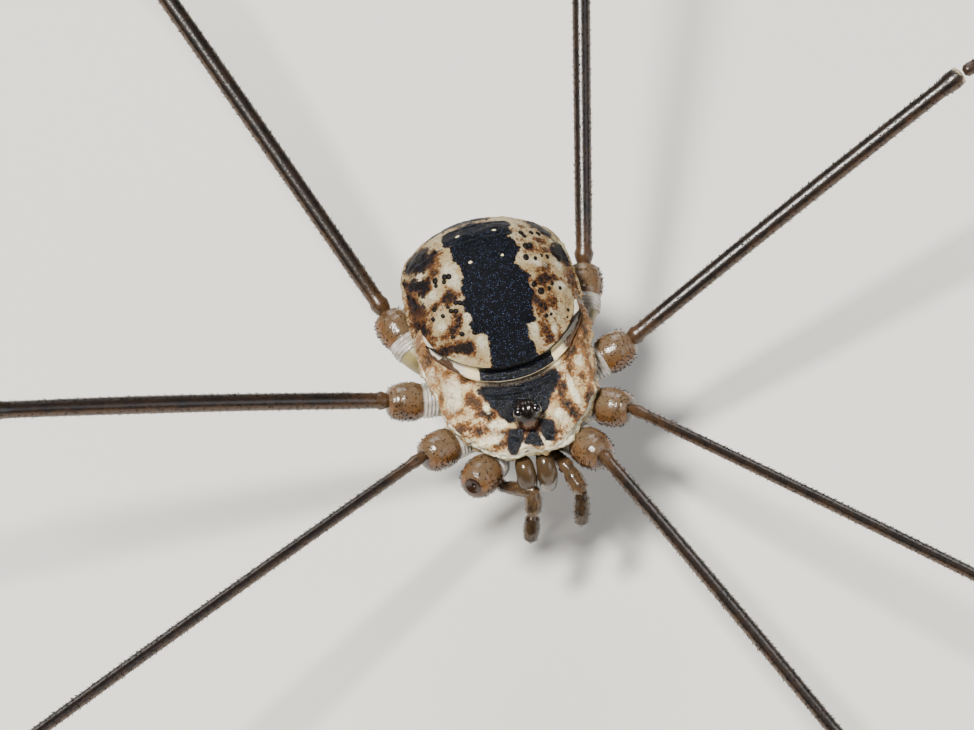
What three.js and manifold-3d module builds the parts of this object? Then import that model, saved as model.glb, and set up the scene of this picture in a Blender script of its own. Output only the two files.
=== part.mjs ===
// A long-legged harvestman at life size, standing low and wide on the floor, head towards -Y.
// All sizes are in millimetres. The origin lies on the floor under the middle of the body.
import * as THREE from "three";
import { mergeVertices } from "three/addons/utils/BufferGeometryUtils.js";
import Module from "manifold-3d";

const wasm = await Module();
wasm.setup();

// Driving sizes of the body
const BODY_FRONT = -2.55;
const BODY_REAR = 4.18;
const SEAM = 0.03;
const END_ROUNDNESS = 0.27;

// The body's sections from front to rear: y, half width, height of the back, of the widest line
// and of the belly.
const SECTIONS = [
  [-2.42, 0.84, 5.7, 5.5, 5.22],
  [-2.1, 1.22, 5.98, 5.53, 4.75],
  [-1.5, 1.68, 6.22, 5.56, 4.35],
  [-0.8, 1.98, 6.4, 5.6, 4.2],
  [0.0, 2.13, 6.7, 5.66, 4.12],
  [1.0, 2.19, 7.24, 5.8, 3.98],
  [2.0, 2.18, 7.52, 5.92, 3.92],
  [3.0, 2.02, 7.38, 5.92, 4.1],
  [3.6, 1.68, 6.96, 5.82, 4.5],
  [3.98, 1.16, 6.5, 5.72, 4.95],
];

// Where the abdomen's front edge runs: a round cut through the whole body
const ABDOMEN_EDGE_RADIUS = 2.0;
const ABDOMEN_EDGE_FRONT = -0.53;

// The raised roll in front of that edge: its distance from it, its reach to each side in degrees,
// its radius, its height in the middle and how fast it falls off sideways
const ROLL_GAP = 0.17;
const ROLL_REACH = 26;
const ROLL_RADIUS = 0.13;
const ROLL_HEIGHT = 6.37;
const ROLL_FALL = 0.09;

// Eye mound and eyes
const MOUND_AT = new THREE.Vector3(0, -1.84, 6.26);
const MOUND_SIZE = new THREE.Vector3(0.33, 0.36, 0.5);
const EYE_RADIUS = 0.15;
const EYE_OFFSET = new THREE.Vector3(0.22, -0.06, 0.26);

// Leg segments: lengths for the leg pairs 1 to 4, and the thickness that every one of them has
const LEG_THICKNESS = 0.5;
const FEMUR_LENGTH = [11.2, 17, 10.6, 14];
const PATELLA_LENGTH = [1.5, 1.9, 1.6, 1.7];
const TIBIA_LENGTH = [9, 13, 9, 11.5];
const METATARSUS_LENGTH = [9, 12, 10.5, 14.5];
const TARSUS_LENGTH = [13, 19, 14, 17];
const TIBIA_DESCENT = [14, 18, 22, 25];
const ANKLE_HEIGHT = 0.9;
const PATELLA_DESCENT = 2;
const TARSUS_DESCENT = 20;

// How far the segments of a leg bow upwards in their middle
const BOW = { femur: 0.1, patella: 0.05, tibia: 0.1, metatarsus: 0.15 };

// Hips: where the ring joint of each pair stands (for the left side), the inner end of its coxa,
// and the point that the coxa bends by.
const HIP_HEIGHT = 5.0;
const HIP = [[1.455, -2.545], [2.3, -1.5], [2.77, 0.14], [2.465, 2.34]];
const COXA_ROOT = [[0.5, -1.52], [0.52, -0.92], [0.55, -0.26], [0.6, 0.46]];
const COXA_BEND = [[1.0, -2.0], [1.4, -1.3], [1.65, 0.0], [2.05, 1.1]];
const COXA_ROOT_HEIGHT = 4.38;
const COXA_BEND_HEIGHT = 4.68;
const COXA_END_STRAIGHT = 0.35;
const COXA_RADIUS = [0.22, 0.42];
const TROCHANTER_RADIUS = 0.5;
const TROCHANTER_HALF = 0.45;

// The ring joint turns from its coxa towards its femur: the coxa's share and the rise of the femur
// that it points to, in degrees. The femur leaves it a little above its middle.
const COXA_SHARE = 0.7;
const RING_RISE = 10;
const FEMUR_LIFT = 0.12;

// How each leg stands: side, pair, direction of the femur in degrees from +Y towards +X, its rise
// above the level, the turn of the lower leg, and the sweep of the tarsus on the floor.
const LEGS = [
  { side: "left", pair: 1, heading: 161.9, rise: 8, turn: -3, sweep: -24 },
  { side: "left", pair: 2, heading: 143.4, rise: 15, turn: -6, sweep: -92 },
  { side: "left", pair: 3, heading: 72.3, rise: 20, turn: 3, sweep: 24 },
  { side: "left", pair: 4, heading: 15.1, rise: 25, turn: 7, sweep: 72 },
  { side: "right", pair: 2, heading: -122.2, rise: 14, turn: -6, sweep: -62 },
  { side: "right", pair: 3, heading: -88.5, rise: 20, turn: -1, sweep: -8 },
  { side: "right", pair: 4, heading: -23.1, rise: 25, turn: -4, sweep: -55 },
];
const LOST_LEG = { side: "right", pair: 1 };

// The chelicerae: distance from the middle, radius, and the joints in y and z, root to claw
const CHELICERA_X = 0.275;
const CHELICERA_RADIUS = 0.26;
const CHELICERA_JOINTS = [[-2.3, 4.8], [-2.64, 4.8], [-2.68, 4.3], [-2.4, 3.5]];

// The joints of the two palps, root to tip
const PALP_RADIUS = 0.25;
const PALP_JOINTS = {
  left: [
    [0.84, -2.35, 4.15],
    [0.83, -2.8, 4.3],
    [0.85, -3.15, 4.6],
    [0.84, -3.5, 4.3],
    [0.66, -3.72, 3.55],
  ],
  right: [
    [-0.84, -2.35, 4.15],
    [-0.88, -2.8, 4.2],
    [-0.2, -3.22, 4.45],
    [-0.38, -3.52, 4.05],
    [-0.5, -3.75, 3.4],
  ],
};

// Colours and finishes of the shell
const finish = (color, roughness) => new THREE.MeshStandardMaterial({ color, roughness, metalness: 0 });
const MOTTLED = finish(0xd9c49a, 0.6);
const EYE_BLACK = finish(0x100b09, 0.12);
const MOUND_BROWN = finish(0x2c1a12, 0.35);
const COXA_CREAM = finish(0xcbbd94, 0.4);
const TROCHANTER_AMBER = finish(0xb07a45, 0.35);
const LEG_BROWN = finish(0x35221a, 0.45);
const MOUTH_GREY = finish(0xa08a6c, 0.4);

const model = new THREE.Group();

function addMesh(name, geometry, material) {
  geometry.computeVertexNormals();
  const mesh = new THREE.Mesh(geometry, material);
  mesh.name = name;
  model.add(mesh);
}

// A closed geometry becomes a solid that can be joined and cut.
function solidOf(geometry) {
  const bare = geometry.clone();
  bare.deleteAttribute("normal");
  bare.deleteAttribute("uv");
  const merged = mergeVertices(bare, 1e-4);
  return new wasm.Manifold(new wasm.Mesh({
    numProp: 3,
    vertProperties: new Float32Array(merged.attributes.position.array),
    triVerts: new Uint32Array(merged.index.array),
  }));
}

function geometryOf(solid) {
  const mesh = solid.getMesh();
  const geometry = new THREE.BufferGeometry();
  geometry.setAttribute("position", new THREE.BufferAttribute(mesh.vertProperties, 3));
  geometry.setIndex(new THREE.BufferAttribute(mesh.triVerts, 1));
  return geometry;
}

// The biggest of the pieces that a cut leaves: the slivers between the coxae are dropped.
function biggest(solid) {
  return solid.decompose().reduce((a, b) => (a.volume() > b.volume() ? a : b));
}

// Moves every vertex of a geometry by a rule.
function reshape(geometry, rule) {
  const place = geometry.attributes.position;
  const point = new THREE.Vector3();
  for (let i = 0; i < place.count; i++) {
    rule(point.fromBufferAttribute(place, i));
    place.setXYZ(i, point.x, point.y, point.z);
  }
  return geometry;
}

// A tube along a curve: an upright cylinder whose rings are laid along it. Flats, not corners,
// lie above and below, so that a tube on the floor rests on a flat strip.
function limb(curve, radiusAt, sides, steps, across = new THREE.Vector3(0, 0, 1)) {
  const cylinder = new THREE.CylinderGeometry(1, 1, 1, sides, steps, false, Math.PI / sides);
  return reshape(cylinder, (p) => {
    const t = THREE.MathUtils.clamp(p.y + 0.5, 0, 1);
    const ahead = curve.getTangentAt(t);
    const sideways = new THREE.Vector3().crossVectors(ahead, across).normalize();
    const upwards = new THREE.Vector3().crossVectors(sideways, ahead);
    const radius = radiusAt(t) / Math.cos(Math.PI / sides);
    const [u, v] = [p.x * radius, p.z * radius];
    p.copy(curve.getPointAt(t)).addScaledVector(sideways, u).addScaledVector(upwards, v);
  });
}

// Body

const bodyMiddle = (BODY_FRONT + BODY_REAR) / 2;
const bodyHalf = (BODY_REAR - BODY_FRONT) / 2;

// How far a section at y has rounded off towards the body's end
function roundingAt(y) {
  const s = (y - bodyMiddle) / bodyHalf;
  return Math.max(1 - s * s, 0) ** END_ROUNDNESS;
}

// A smooth value between the rows of SECTIONS, for the sizes that shrink to nothing at the ends
function sectionValue(y, read) {
  const last = SECTIONS.length - 1;
  let i = 0;
  while (i < last - 1 && y > SECTIONS[i + 1][0]) i += 1;
  const [y0, y1] = [SECTIONS[i][0], SECTIONS[i + 1][0]];
  const t = THREE.MathUtils.clamp((y - y0) / (y1 - y0), 0, 1);
  const value = (k) => read(SECTIONS[THREE.MathUtils.clamp(k, 0, last)]);
  const spline = new THREE.CatmullRomCurve3(
    [i - 1, i, i + 1, i + 2].map((k) => new THREE.Vector3(k, value(k), 0)),
    false,
    "catmullrom",
    0.5,
  );
  return spline.getPoint((1 + t) / 3).y;
}

const halfWidthAt = (y) => sectionValue(y, (row) => row[1] / roundingAt(row[0])) * roundingAt(y);
const backAt = (y) => sectionValue(y, (row) => (row[2] - row[3]) / roundingAt(row[0])) * roundingAt(y);
const bellyAt = (y) => sectionValue(y, (row) => (row[3] - row[4]) / roundingAt(row[0])) * roundingAt(y);
const middleAt = (y) => sectionValue(y, (row) => row[3]);

function bodyGeometry() {
  return reshape(new THREE.SphereGeometry(1, 26, 18), (p) => {
    const ring = Math.hypot(p.x, p.z);
    const y = bodyMiddle + bodyHalf * p.y;
    const [across, up] = ring > 1e-6 ? [p.x / ring, p.z / ring] : [0, 0];
    const height = up > 0 ? backAt(y) : bellyAt(y);
    p.set(across * halfWidthAt(y), y, middleAt(y) + up * height);
  });
}

// The whole region that belongs to the abdomen, grown or shrunk by a margin
function abdomenRegion(margin) {
  const centre = ABDOMEN_EDGE_FRONT + ABDOMEN_EDGE_RADIUS;
  const drum = new THREE.CylinderGeometry(
    ABDOMEN_EDGE_RADIUS + margin,
    ABDOMEN_EDGE_RADIUS + margin,
    12,
    28,
  );
  drum.rotateX(Math.PI / 2).translate(0, centre, HIP_HEIGHT);
  const rear = new THREE.BoxGeometry(12, 6, 12);
  rear.translate(0, centre + 3, HIP_HEIGHT);
  return solidOf(drum).add(solidOf(rear));
}

// The raised roll across the body in front of the abdomen
function rollGeometry() {
  const radius = ABDOMEN_EDGE_RADIUS + ROLL_GAP;
  const centre = ABDOMEN_EDGE_FRONT + ABDOMEN_EDGE_RADIUS;
  const points = [-1, -0.67, -0.33, 0, 0.33, 0.67, 1].map((share) => {
    const a = THREE.MathUtils.degToRad(share * ROLL_REACH);
    const x = radius * Math.sin(a);
    return new THREE.Vector3(x, centre - radius * Math.cos(a), ROLL_HEIGHT - ROLL_FALL * x * x);
  });
  return limb(new THREE.CatmullRomCurve3(points), () => ROLL_RADIUS, 8, 12);
}

function moundGeometry(margin) {
  const dome = new THREE.SphereGeometry(1, 12, 8);
  dome.scale(MOUND_SIZE.x + margin, MOUND_SIZE.y + margin, MOUND_SIZE.z + margin);
  return dome.translate(MOUND_AT.x, MOUND_AT.y, MOUND_AT.z);
}

function eyeGeometry(sign, margin) {
  const eye = new THREE.SphereGeometry(EYE_RADIUS + margin, 10, 6);
  return eye.translate(
    MOUND_AT.x + sign * EYE_OFFSET.x,
    MOUND_AT.y + EYE_OFFSET.y,
    MOUND_AT.z + EYE_OFFSET.z,
  );
}

// Legs near the body

const sideSign = (side) => (side === "left" ? 1 : -1);

function onSide(side, [x, y], z) {
  return new THREE.Vector3(sideSign(side) * x, y, z);
}

function headingVector(heading, rise) {
  const [a, r] = [THREE.MathUtils.degToRad(heading), THREE.MathUtils.degToRad(rise)];
  return new THREE.Vector3(Math.sin(a) * Math.cos(r), Math.cos(a) * Math.cos(r), Math.sin(r));
}

// The direction in which the ring joint points: between its coxa and its femur, where it has one
function hipDirection(side, pair, heading) {
  const hip = onSide(side, HIP[pair - 1], HIP_HEIGHT);
  const out = hip.sub(onSide(side, COXA_BEND[pair - 1], COXA_BEND_HEIGHT)).normalize();
  if (heading === undefined) return out;
  return out.multiplyScalar(COXA_SHARE).add(headingVector(heading, RING_RISE)).normalize();
}

// The coxa: a curved, swelling segment from the middle of the underside to the ring joint
function coxaGeometry(side, pair, heading, margin) {
  const out = hipDirection(side, pair, heading);
  const end = onSide(side, HIP[pair - 1], HIP_HEIGHT).addScaledVector(out, -TROCHANTER_HALF - SEAM);
  const curve = new THREE.CubicBezierCurve3(
    onSide(side, COXA_ROOT[pair - 1], COXA_ROOT_HEIGHT),
    onSide(side, COXA_BEND[pair - 1], COXA_BEND_HEIGHT),
    end.clone().addScaledVector(out, -COXA_END_STRAIGHT),
    end,
  );
  const radiusAt = (t) => THREE.MathUtils.lerp(...COXA_RADIUS, Math.sin((t * Math.PI) / 2)) + margin;
  return limb(curve, radiusAt, 8, 5);
}

// A turned shape laid along a direction from a point
function turned(profile, start, direction, segments) {
  const points = profile.map(([radius, along]) => new THREE.Vector2(radius, along));
  const lathe = new THREE.LatheGeometry(points, segments);
  const turn = new THREE.Quaternion().setFromUnitVectors(new THREE.Vector3(0, 1, 0), direction);
  return lathe.applyQuaternion(turn).translate(start.x, start.y, start.z);
}

// The ring joint: a bulb with flat ends. Where the leg is lost its outer end is an open socket.
function trochanterGeometry(side, pair, heading, open) {
  const [r, h] = [TROCHANTER_RADIUS, TROCHANTER_HALF];
  const outer = open
    ? [[0.8 * r, 0.9 * h], [0.66 * r, h], [0.45 * r, 0.9 * h], [0.3 * r, 0.35 * h], [0, 0.25 * h]]
    : [[0.82 * r, 0.8 * h], [0.6 * r, h], [0, h]];
  const profile = [[0, -h], [0.86 * r, -h], [0.97 * r, -0.6 * h], [r, 0], [0.95 * r, 0.45 * h], ...outer];
  const hip = onSide(side, HIP[pair - 1], HIP_HEIGHT);
  return turned(profile, hip, hipDirection(side, pair, heading), 10);
}

// Legs beyond the hip

const halfThick = LEG_THICKNESS / 2;
const evenly = () => halfThick;

// The joints of a leg, from the hip's ring out to the ankle
function legJoints({ side, pair, heading, rise, turn }) {
  const row = pair - 1;
  const hipOut = hipDirection(side, pair, heading);
  const base = onSide(side, HIP[row], HIP_HEIGHT).addScaledVector(hipOut, TROCHANTER_HALF + SEAM);
  base.z += FEMUR_LIFT;
  const knee = base.clone().addScaledVector(headingVector(heading, rise), FEMUR_LENGTH[row]);
  const past = headingVector(heading + turn / 2, -PATELLA_DESCENT);
  const belowKnee = knee.clone().addScaledVector(past, PATELLA_LENGTH[row]);
  const shin = headingVector(heading + turn, -TIBIA_DESCENT[row]);
  const shinEnd = belowKnee.clone().addScaledVector(shin, TIBIA_LENGTH[row]);
  const drop = shinEnd.z - ANKLE_HEIGHT;
  const descent = THREE.MathUtils.radToDeg(Math.asin(drop / METATARSUS_LENGTH[row]));
  const lower = headingVector(heading + 2 * turn, -descent);
  const ankle = shinEnd.clone().addScaledVector(lower, METATARSUS_LENGTH[row]);
  return { base, knee, belowKnee, shinEnd, ankle };
}

// A segment between two joints, bowed upwards a little, short of each joint by half a seam
function bowed(start, end, bow) {
  const ahead = end.clone().sub(start).normalize();
  const from = start.clone().addScaledVector(ahead, SEAM);
  const to = end.clone().addScaledVector(ahead, -SEAM);
  const middle = from.clone().lerp(to, 0.5);
  middle.z += 2 * bow;
  return new THREE.QuadraticBezierCurve3(from, middle, to);
}

// The tarsus: it comes down from the ankle, then lies on the floor and sweeps round
function tarsusCurve({ pair, heading, turn, sweep }, ankle) {
  const length = TARSUS_LENGTH[pair - 1];
  const start = heading + 2 * turn;
  const points = [ankle.clone().addScaledVector(headingVector(start, -TARSUS_DESCENT), SEAM + halfThick)];
  const place = points[0].clone();
  const steps = 12;
  for (let i = 0; i < steps; i++) {
    place.addScaledVector(headingVector(start + (sweep * (i + 0.5)) / steps, 0), length / steps);
    const down = THREE.MathUtils.smoothstep(i + 1, 0, 3);
    const height = THREE.MathUtils.lerp(points[0].z, halfThick, down);
    points.push(new THREE.Vector3(place.x, place.y, height));
  }
  return new THREE.CatmullRomCurve3(points);
}

// Mouth parts

// Straight pieces from joint to joint, with a ball at each joint between them
function jointedSolid(joints, radius) {
  let solid;
  for (let i = 1; i < joints.length; i++) {
    const piece = solidOf(limb(new THREE.LineCurve3(joints[i - 1], joints[i]), () => radius, 8, 1));
    solid = solid ? solid.add(piece) : piece;
    if (i < joints.length - 1) {
      const ball = new THREE.SphereGeometry(radius, 8, 4);
      solid = solid.add(solidOf(ball.translate(joints[i].x, joints[i].y, joints[i].z)));
    }
  }
  return solid;
}

function cheliceraSolid(side) {
  const x = sideSign(side) * CHELICERA_X;
  const joints = CHELICERA_JOINTS.map(([y, z]) => new THREE.Vector3(x, y, z));
  return jointedSolid(joints, CHELICERA_RADIUS);
}

function palpSolid(side) {
  return jointedSolid(PALP_JOINTS[side].map((p) => new THREE.Vector3(...p)), PALP_RADIUS);
}

// Assembly

const hips = [...LEGS, LOST_LEG];
const cutter = hips.map(({ side, pair, heading }) => solidOf(coxaGeometry(side, pair, heading, SEAM)));
const ringCutter = hips.map(({ side, pair, heading }) => {
  return solidOf(trochanterGeometry(side, pair, heading, false));
});
const body = solidOf(bodyGeometry());
const mound = solidOf(moundGeometry(0));
const eyes = { left: solidOf(eyeGeometry(1, 0)), right: solidOf(eyeGeometry(-1, 0)) };

let front = body.subtract(abdomenRegion(SEAM)).add(solidOf(rollGeometry()).subtract(abdomenRegion(SEAM)));
front = front.subtract(solidOf(moundGeometry(SEAM)));
let rear = body.intersect(abdomenRegion(0));
for (const solid of [...cutter, ...ringCutter]) {
  front = front.subtract(solid);
  rear = rear.subtract(solid);
}
addMesh("cephalothorax", geometryOf(biggest(front)), MOTTLED);
addMesh("abdomen", geometryOf(biggest(rear)), MOTTLED);

const bareMound = mound.subtract(solidOf(eyeGeometry(1, SEAM))).subtract(solidOf(eyeGeometry(-1, SEAM)));
addMesh("ocularium", geometryOf(bareMound), MOUND_BROWN);
for (const side of ["left", "right"]) {
  addMesh(`eye_${side}`, geometryOf(eyes[side]), EYE_BLACK);
}

for (const { side, pair, heading } of hips) {
  const open = side === LOST_LEG.side && pair === LOST_LEG.pair;
  addMesh(`coxa_${side}_${pair}`, coxaGeometry(side, pair, heading, 0), COXA_CREAM);
  addMesh(`trochanter_${side}_${pair}`, trochanterGeometry(side, pair, heading, open), TROCHANTER_AMBER);
}

for (const leg of LEGS) {
  const { base, knee, belowKnee, shinEnd, ankle } = legJoints(leg);
  const label = `${leg.side}_${leg.pair}`;
  addMesh(`femur_${label}`, limb(bowed(base, knee, BOW.femur), evenly, 8, 6), LEG_BROWN);
  addMesh(`patella_${label}`, limb(bowed(knee, belowKnee, BOW.patella), evenly, 8, 2), LEG_BROWN);
  addMesh(`tibia_${label}`, limb(bowed(belowKnee, shinEnd, BOW.tibia), evenly, 8, 4), LEG_BROWN);
  addMesh(`metatarsus_${label}`, limb(bowed(shinEnd, ankle, BOW.metatarsus), evenly, 8, 5), LEG_BROWN);
  const tarsus = limb(tarsusCurve(leg, ankle), evenly, 8, 9);
  addMesh(`tarsus_${label}`, reshape(tarsus, (p) => p.setZ(Math.max(p.z, 0))), LEG_BROWN);
}

for (const side of ["left", "right"]) {
  addMesh(`chelicera_${side}`, geometryOf(cheliceraSolid(side)), MOUTH_GREY);
  addMesh(`pedipalp_${side}`, geometryOf(palpSolid(side)), MOUTH_GREY);
}

export default model;
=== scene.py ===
# %% [markdown]
# # A long-legged harvestman
#
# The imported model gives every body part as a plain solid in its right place. This script puts the
# living surface on it: mottled leathery skin, glossy eyes, amber ring joints, and thin brown legs
# with rows of tiny spines. The frame is loaded first, because every piece rides on it.

# %% Load the frame
import bpy
import bmesh
import math
import random
import numpy as np
from mathutils import Matrix, Vector, noise


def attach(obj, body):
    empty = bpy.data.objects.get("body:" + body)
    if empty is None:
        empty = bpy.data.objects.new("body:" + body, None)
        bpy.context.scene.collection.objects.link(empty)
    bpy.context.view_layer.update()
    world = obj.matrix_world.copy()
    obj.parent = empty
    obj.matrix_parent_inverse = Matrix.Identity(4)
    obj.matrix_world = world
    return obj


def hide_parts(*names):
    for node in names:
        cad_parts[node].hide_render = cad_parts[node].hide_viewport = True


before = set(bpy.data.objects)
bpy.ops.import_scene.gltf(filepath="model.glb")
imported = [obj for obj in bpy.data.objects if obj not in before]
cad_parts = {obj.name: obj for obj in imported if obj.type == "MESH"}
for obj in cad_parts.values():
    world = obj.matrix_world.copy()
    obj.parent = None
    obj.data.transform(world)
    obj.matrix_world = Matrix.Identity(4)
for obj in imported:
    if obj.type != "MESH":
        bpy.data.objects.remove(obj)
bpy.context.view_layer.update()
MM = 0.001

# %% [markdown]
# The photograph looks down on the animal's front from close by, with a long lens and the picture
# turned a little. The camera is built from those angles: its three axes are worked out one after
# another, so that the framing stays exactly the photograph's.

# %% Camera at the photograph's angle
TARGET = Vector((-0.585, 0, 6)) * MM
AZIMUTH, ELEVATION, ROLL = math.radians(-8.5), math.radians(58), math.radians(6.5)
DISTANCE = 180 * MM
FOCAL_PIXELS, FRAME_WIDTH = 7200, 974
SENSOR_WIDTH = 36
NEAREST, FARTHEST = 0.01, 10

back = Vector((math.sin(AZIMUTH) * math.cos(ELEVATION), -math.cos(AZIMUTH) * math.cos(ELEVATION),
               math.sin(ELEVATION)))
level = Vector((math.cos(AZIMUTH), math.sin(AZIMUTH), 0))
upright = back.cross(level)
right = level * math.cos(ROLL) - upright * math.sin(ROLL)
up = level * math.sin(ROLL) + upright * math.cos(ROLL)

lens = bpy.data.cameras.new("camera")
lens.sensor_width = SENSOR_WIDTH
lens.lens = SENSOR_WIDTH * FOCAL_PIXELS / FRAME_WIDTH
lens.clip_start, lens.clip_end = NEAREST, FARTHEST
camera = bpy.data.objects.new("camera", lens)
turn = Matrix((right, up, back)).transposed().to_4x4()
camera.matrix_world = Matrix.Translation(TARGET + back * DISTANCE) @ turn
bpy.context.scene.collection.objects.link(camera)
bpy.context.scene.camera = camera
print("lens", round(lens.lens, 1), "mm")

# %% [markdown]
# Colours are written as the hex values a painter would pick from a screen. Blender computes in
# linear light, so one function turns them over. Another small function adds a shader node with
# its settings and links, which keeps every material below readable.

# %% Colour and node helpers
PER_MM = 1 / MM


def linear(code):
    channels = [int(code[i:i + 2], 16) / 255 for i in (1, 3, 5)]
    return (*[c / 12.92 if c <= 0.04045 else ((c + 0.055) / 1.055) ** 2.4 for c in channels], 1)


def feed(node, sockets):
    """Links each input to another node, or gives it a fixed value."""
    for socket, value in sockets.items():
        if isinstance(value, bpy.types.Node):
            value = value.outputs[0]
        if isinstance(value, bpy.types.NodeSocket):
            node.id_data.links.new(value, node.inputs[socket])
        else:
            node.inputs[socket].default_value = value


def add(nodes, kind, inputs=None, **settings):
    node = nodes.new(kind)
    for name, value in settings.items():
        setattr(node, name, value)
    feed(node, inputs or {})
    return node


def start_material(name):
    material = bpy.data.materials.new(name)
    material.use_nodes = True
    nodes = material.node_tree.nodes
    return material, nodes, nodes["Principled BSDF"]


print("middle grey in linear light", round(linear("#808080")[0], 3))

# %% [markdown]
# Most finishes here are layers: a ground colour, then stains laid over it wherever some measure is
# high or low enough. The measure is a noise, a mark stored on the mesh, or a sum of these. Two
# functions cover that. One lays a colour over another between two values of the measure, the
# other adds shares of noise to a measure, which frays the edge that is drawn from it. Noise is
# read at the piece's own millimetres, so that every pattern keeps its real size.

# %% Layers of colour
def paint(nodes, colour, cover, measure, bare=0, full=1):
    """Lays cover over colour: none of it where the measure is at bare, all where it is at full."""
    share = add(nodes, "ShaderNodeMapRange", {"Value": measure, "From Min": bare, "From Max": full})
    mixed = add(nodes, "ShaderNodeMix", {0: share, 6: colour, 7: cover}, data_type="RGBA")
    return mixed.outputs[2]


def frayed(nodes, measure, *shares):
    """Adds (value, share) pairs, mostly noise, to a measure."""
    for value, share in shares:
        measure = add(nodes, "ShaderNodeMath", {0: value, 1: share, 2: measure},
                      operation="MULTIPLY_ADD")
    return measure


print("every layer of colour goes on with the same two functions")

# %% [markdown]
# The studio is a pale sheet of matt paper, which takes a soft shadow and mirrors nothing. A small
# bright light stands above the camera's left shoulder, where the sharp highlights on the ring
# joints put it, a weak broad one on the right and one behind. A dim sky fills the shadows.

# %% Floor and lights
FLOOR_HALF = 0.5
SKY_STRENGTH = 0.16
LIGHTS = [
    # name, place in metres, size in metres, watts, colour
    ("key_light", (-0.10, -0.04, 0.34), 0.06, 3.0, "#FFFBF4"),
    ("fill_light", (0.30, -0.22, 0.22), 0.25, 0.5, "#F2F6FF"),
    ("rear_light", (0.05, 0.35, 0.25), 0.20, 0.7, "#FFFFFF"),
]

bm = bmesh.new()
bmesh.ops.create_grid(bm, x_segments=1, y_segments=1, size=FLOOR_HALF)
floor_mesh = bpy.data.meshes.new("floor")
bm.to_mesh(floor_mesh)
bm.free()
floor = bpy.data.objects.new("floor", floor_mesh)
bpy.context.scene.collection.objects.link(floor)
paper, nodes, shader = start_material("matt_paper")
feed(shader, {"Base Color": linear("#DAD8D3"), "Roughness": 0.9})
floor_mesh.materials.append(paper)

for name, place, size, watts, colour in LIGHTS:
    lamp = bpy.data.lights.new(name, "AREA")
    lamp.size, lamp.energy, lamp.color = size, watts, linear(colour)[:3]
    light = bpy.data.objects.new(name, lamp)
    light.location = place
    light.rotation_euler = (TARGET - Vector(place)).to_track_quat("-Z", "Y").to_euler()
    bpy.context.scene.collection.objects.link(light)
world = bpy.data.worlds.new("studio")
world.use_nodes = True
feed(world.node_tree.nodes["Background"], {"Color": linear("#DDE2EA"), "Strength": SKY_STRENGTH})
bpy.context.scene.world = world
print(len(LIGHTS), "lights")

# %% [markdown]
# Meshes are shaped in millimetres, because the animal is a few millimetres long, and are turned to
# metres at the last moment. One function does this for every piece, and hides the imported solids
# that the piece stands for.

# %% Turning a shape into a piece
def piece_from(bm, name, material, stands_for=()):
    mesh = bpy.data.meshes.new(name)
    bm.to_mesh(mesh)
    bm.free()
    mesh.transform(Matrix.Scale(MM, 4))
    mesh.shade_smooth()
    mesh.materials.append(material)
    piece = bpy.data.objects.new(name, mesh)
    bpy.context.scene.collection.objects.link(piece)
    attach(piece, "root")
    if stands_for:
        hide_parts(*stands_for)
    print(name, len(mesh.polygons), "faces")
    return piece


print("pieces are shaped in mm and kept in metres")

# %% [markdown]
# The body is one flat egg that is cut into a front shield and an abdomen. Its shape is a row of
# cross-sections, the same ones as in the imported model. A smooth curve runs from row to row, and a
# rounding factor closes both ends. A formula is used rather than a sculpted mesh, because it can
# be asked for the skin's place and direction at any point.

# %% The body's sections
BODY_FRONT, BODY_REAR = -2.55, 4.18
END_ROUNDNESS = 0.27
SECTIONS = np.array([
    # y, half width, height of the back, of the widest line and of the belly
    [-2.42, 0.84, 5.7, 5.5, 5.22],
    [-2.1, 1.22, 5.98, 5.53, 4.75],
    [-1.5, 1.68, 6.22, 5.56, 4.35],
    [-0.8, 1.98, 6.4, 5.6, 4.2],
    [0.0, 2.13, 6.7, 5.66, 4.12],
    [1.0, 2.19, 7.24, 5.8, 3.98],
    [2.0, 2.18, 7.52, 5.92, 3.92],
    [3.0, 2.02, 7.38, 5.92, 4.1],
    [3.6, 1.68, 6.96, 5.82, 4.5],
    [3.98, 1.16, 6.5, 5.72, 4.95],
])
MIDDLE, HALF = (BODY_FRONT + BODY_REAR) / 2, (BODY_REAR - BODY_FRONT) / 2


def rounding(y):
    return np.maximum(1 - ((y - MIDDLE) / HALF) ** 2, 0) ** END_ROUNDNESS


def curve_between(a, b, c, d, s):
    """What lies at share s from b to c on a smooth curve, whose slopes the neighbours a and d set."""
    m0, m1 = (c - a) / 2, (d - b) / 2
    return b + m0 * s + (3 * (c - b) - 2 * m0 - m1) * s ** 2 + (2 * (b - c) + m0 + m1) * s ** 3


def between_rows(y, values):
    rows = SECTIONS[:, 0]
    i = np.clip(np.searchsorted(rows, y) - 1, 0, len(rows) - 2)
    t = np.clip((y - rows[i]) / (rows[i + 1] - rows[i]), 0, 1)
    return curve_between(values[np.maximum(i - 1, 0)], values[i], values[i + 1],
                         values[np.minimum(i + 2, len(rows) - 1)], t)


ROUNDED = rounding(SECTIONS[:, 0])


def half_width(y):
    return between_rows(y, SECTIONS[:, 1] / ROUNDED) * rounding(y)


def widest_height(y):
    return between_rows(y, SECTIONS[:, 3])


def skin_places(angle, y):
    """Points of the smooth body: angle is measured round the section, 0 on top, towards +X."""
    rise = between_rows(y, (SECTIONS[:, 2] - SECTIONS[:, 3]) / ROUNDED) * rounding(y)
    fall = between_rows(y, (SECTIONS[:, 3] - SECTIONS[:, 4]) / ROUNDED) * rounding(y)
    height = np.where(np.cos(angle) > 0, rise, fall)
    x = np.sin(angle) * half_width(y)
    return np.stack([x, y, widest_height(y) + np.cos(angle) * height], -1)


NORMAL_STEP = 0.004


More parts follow.
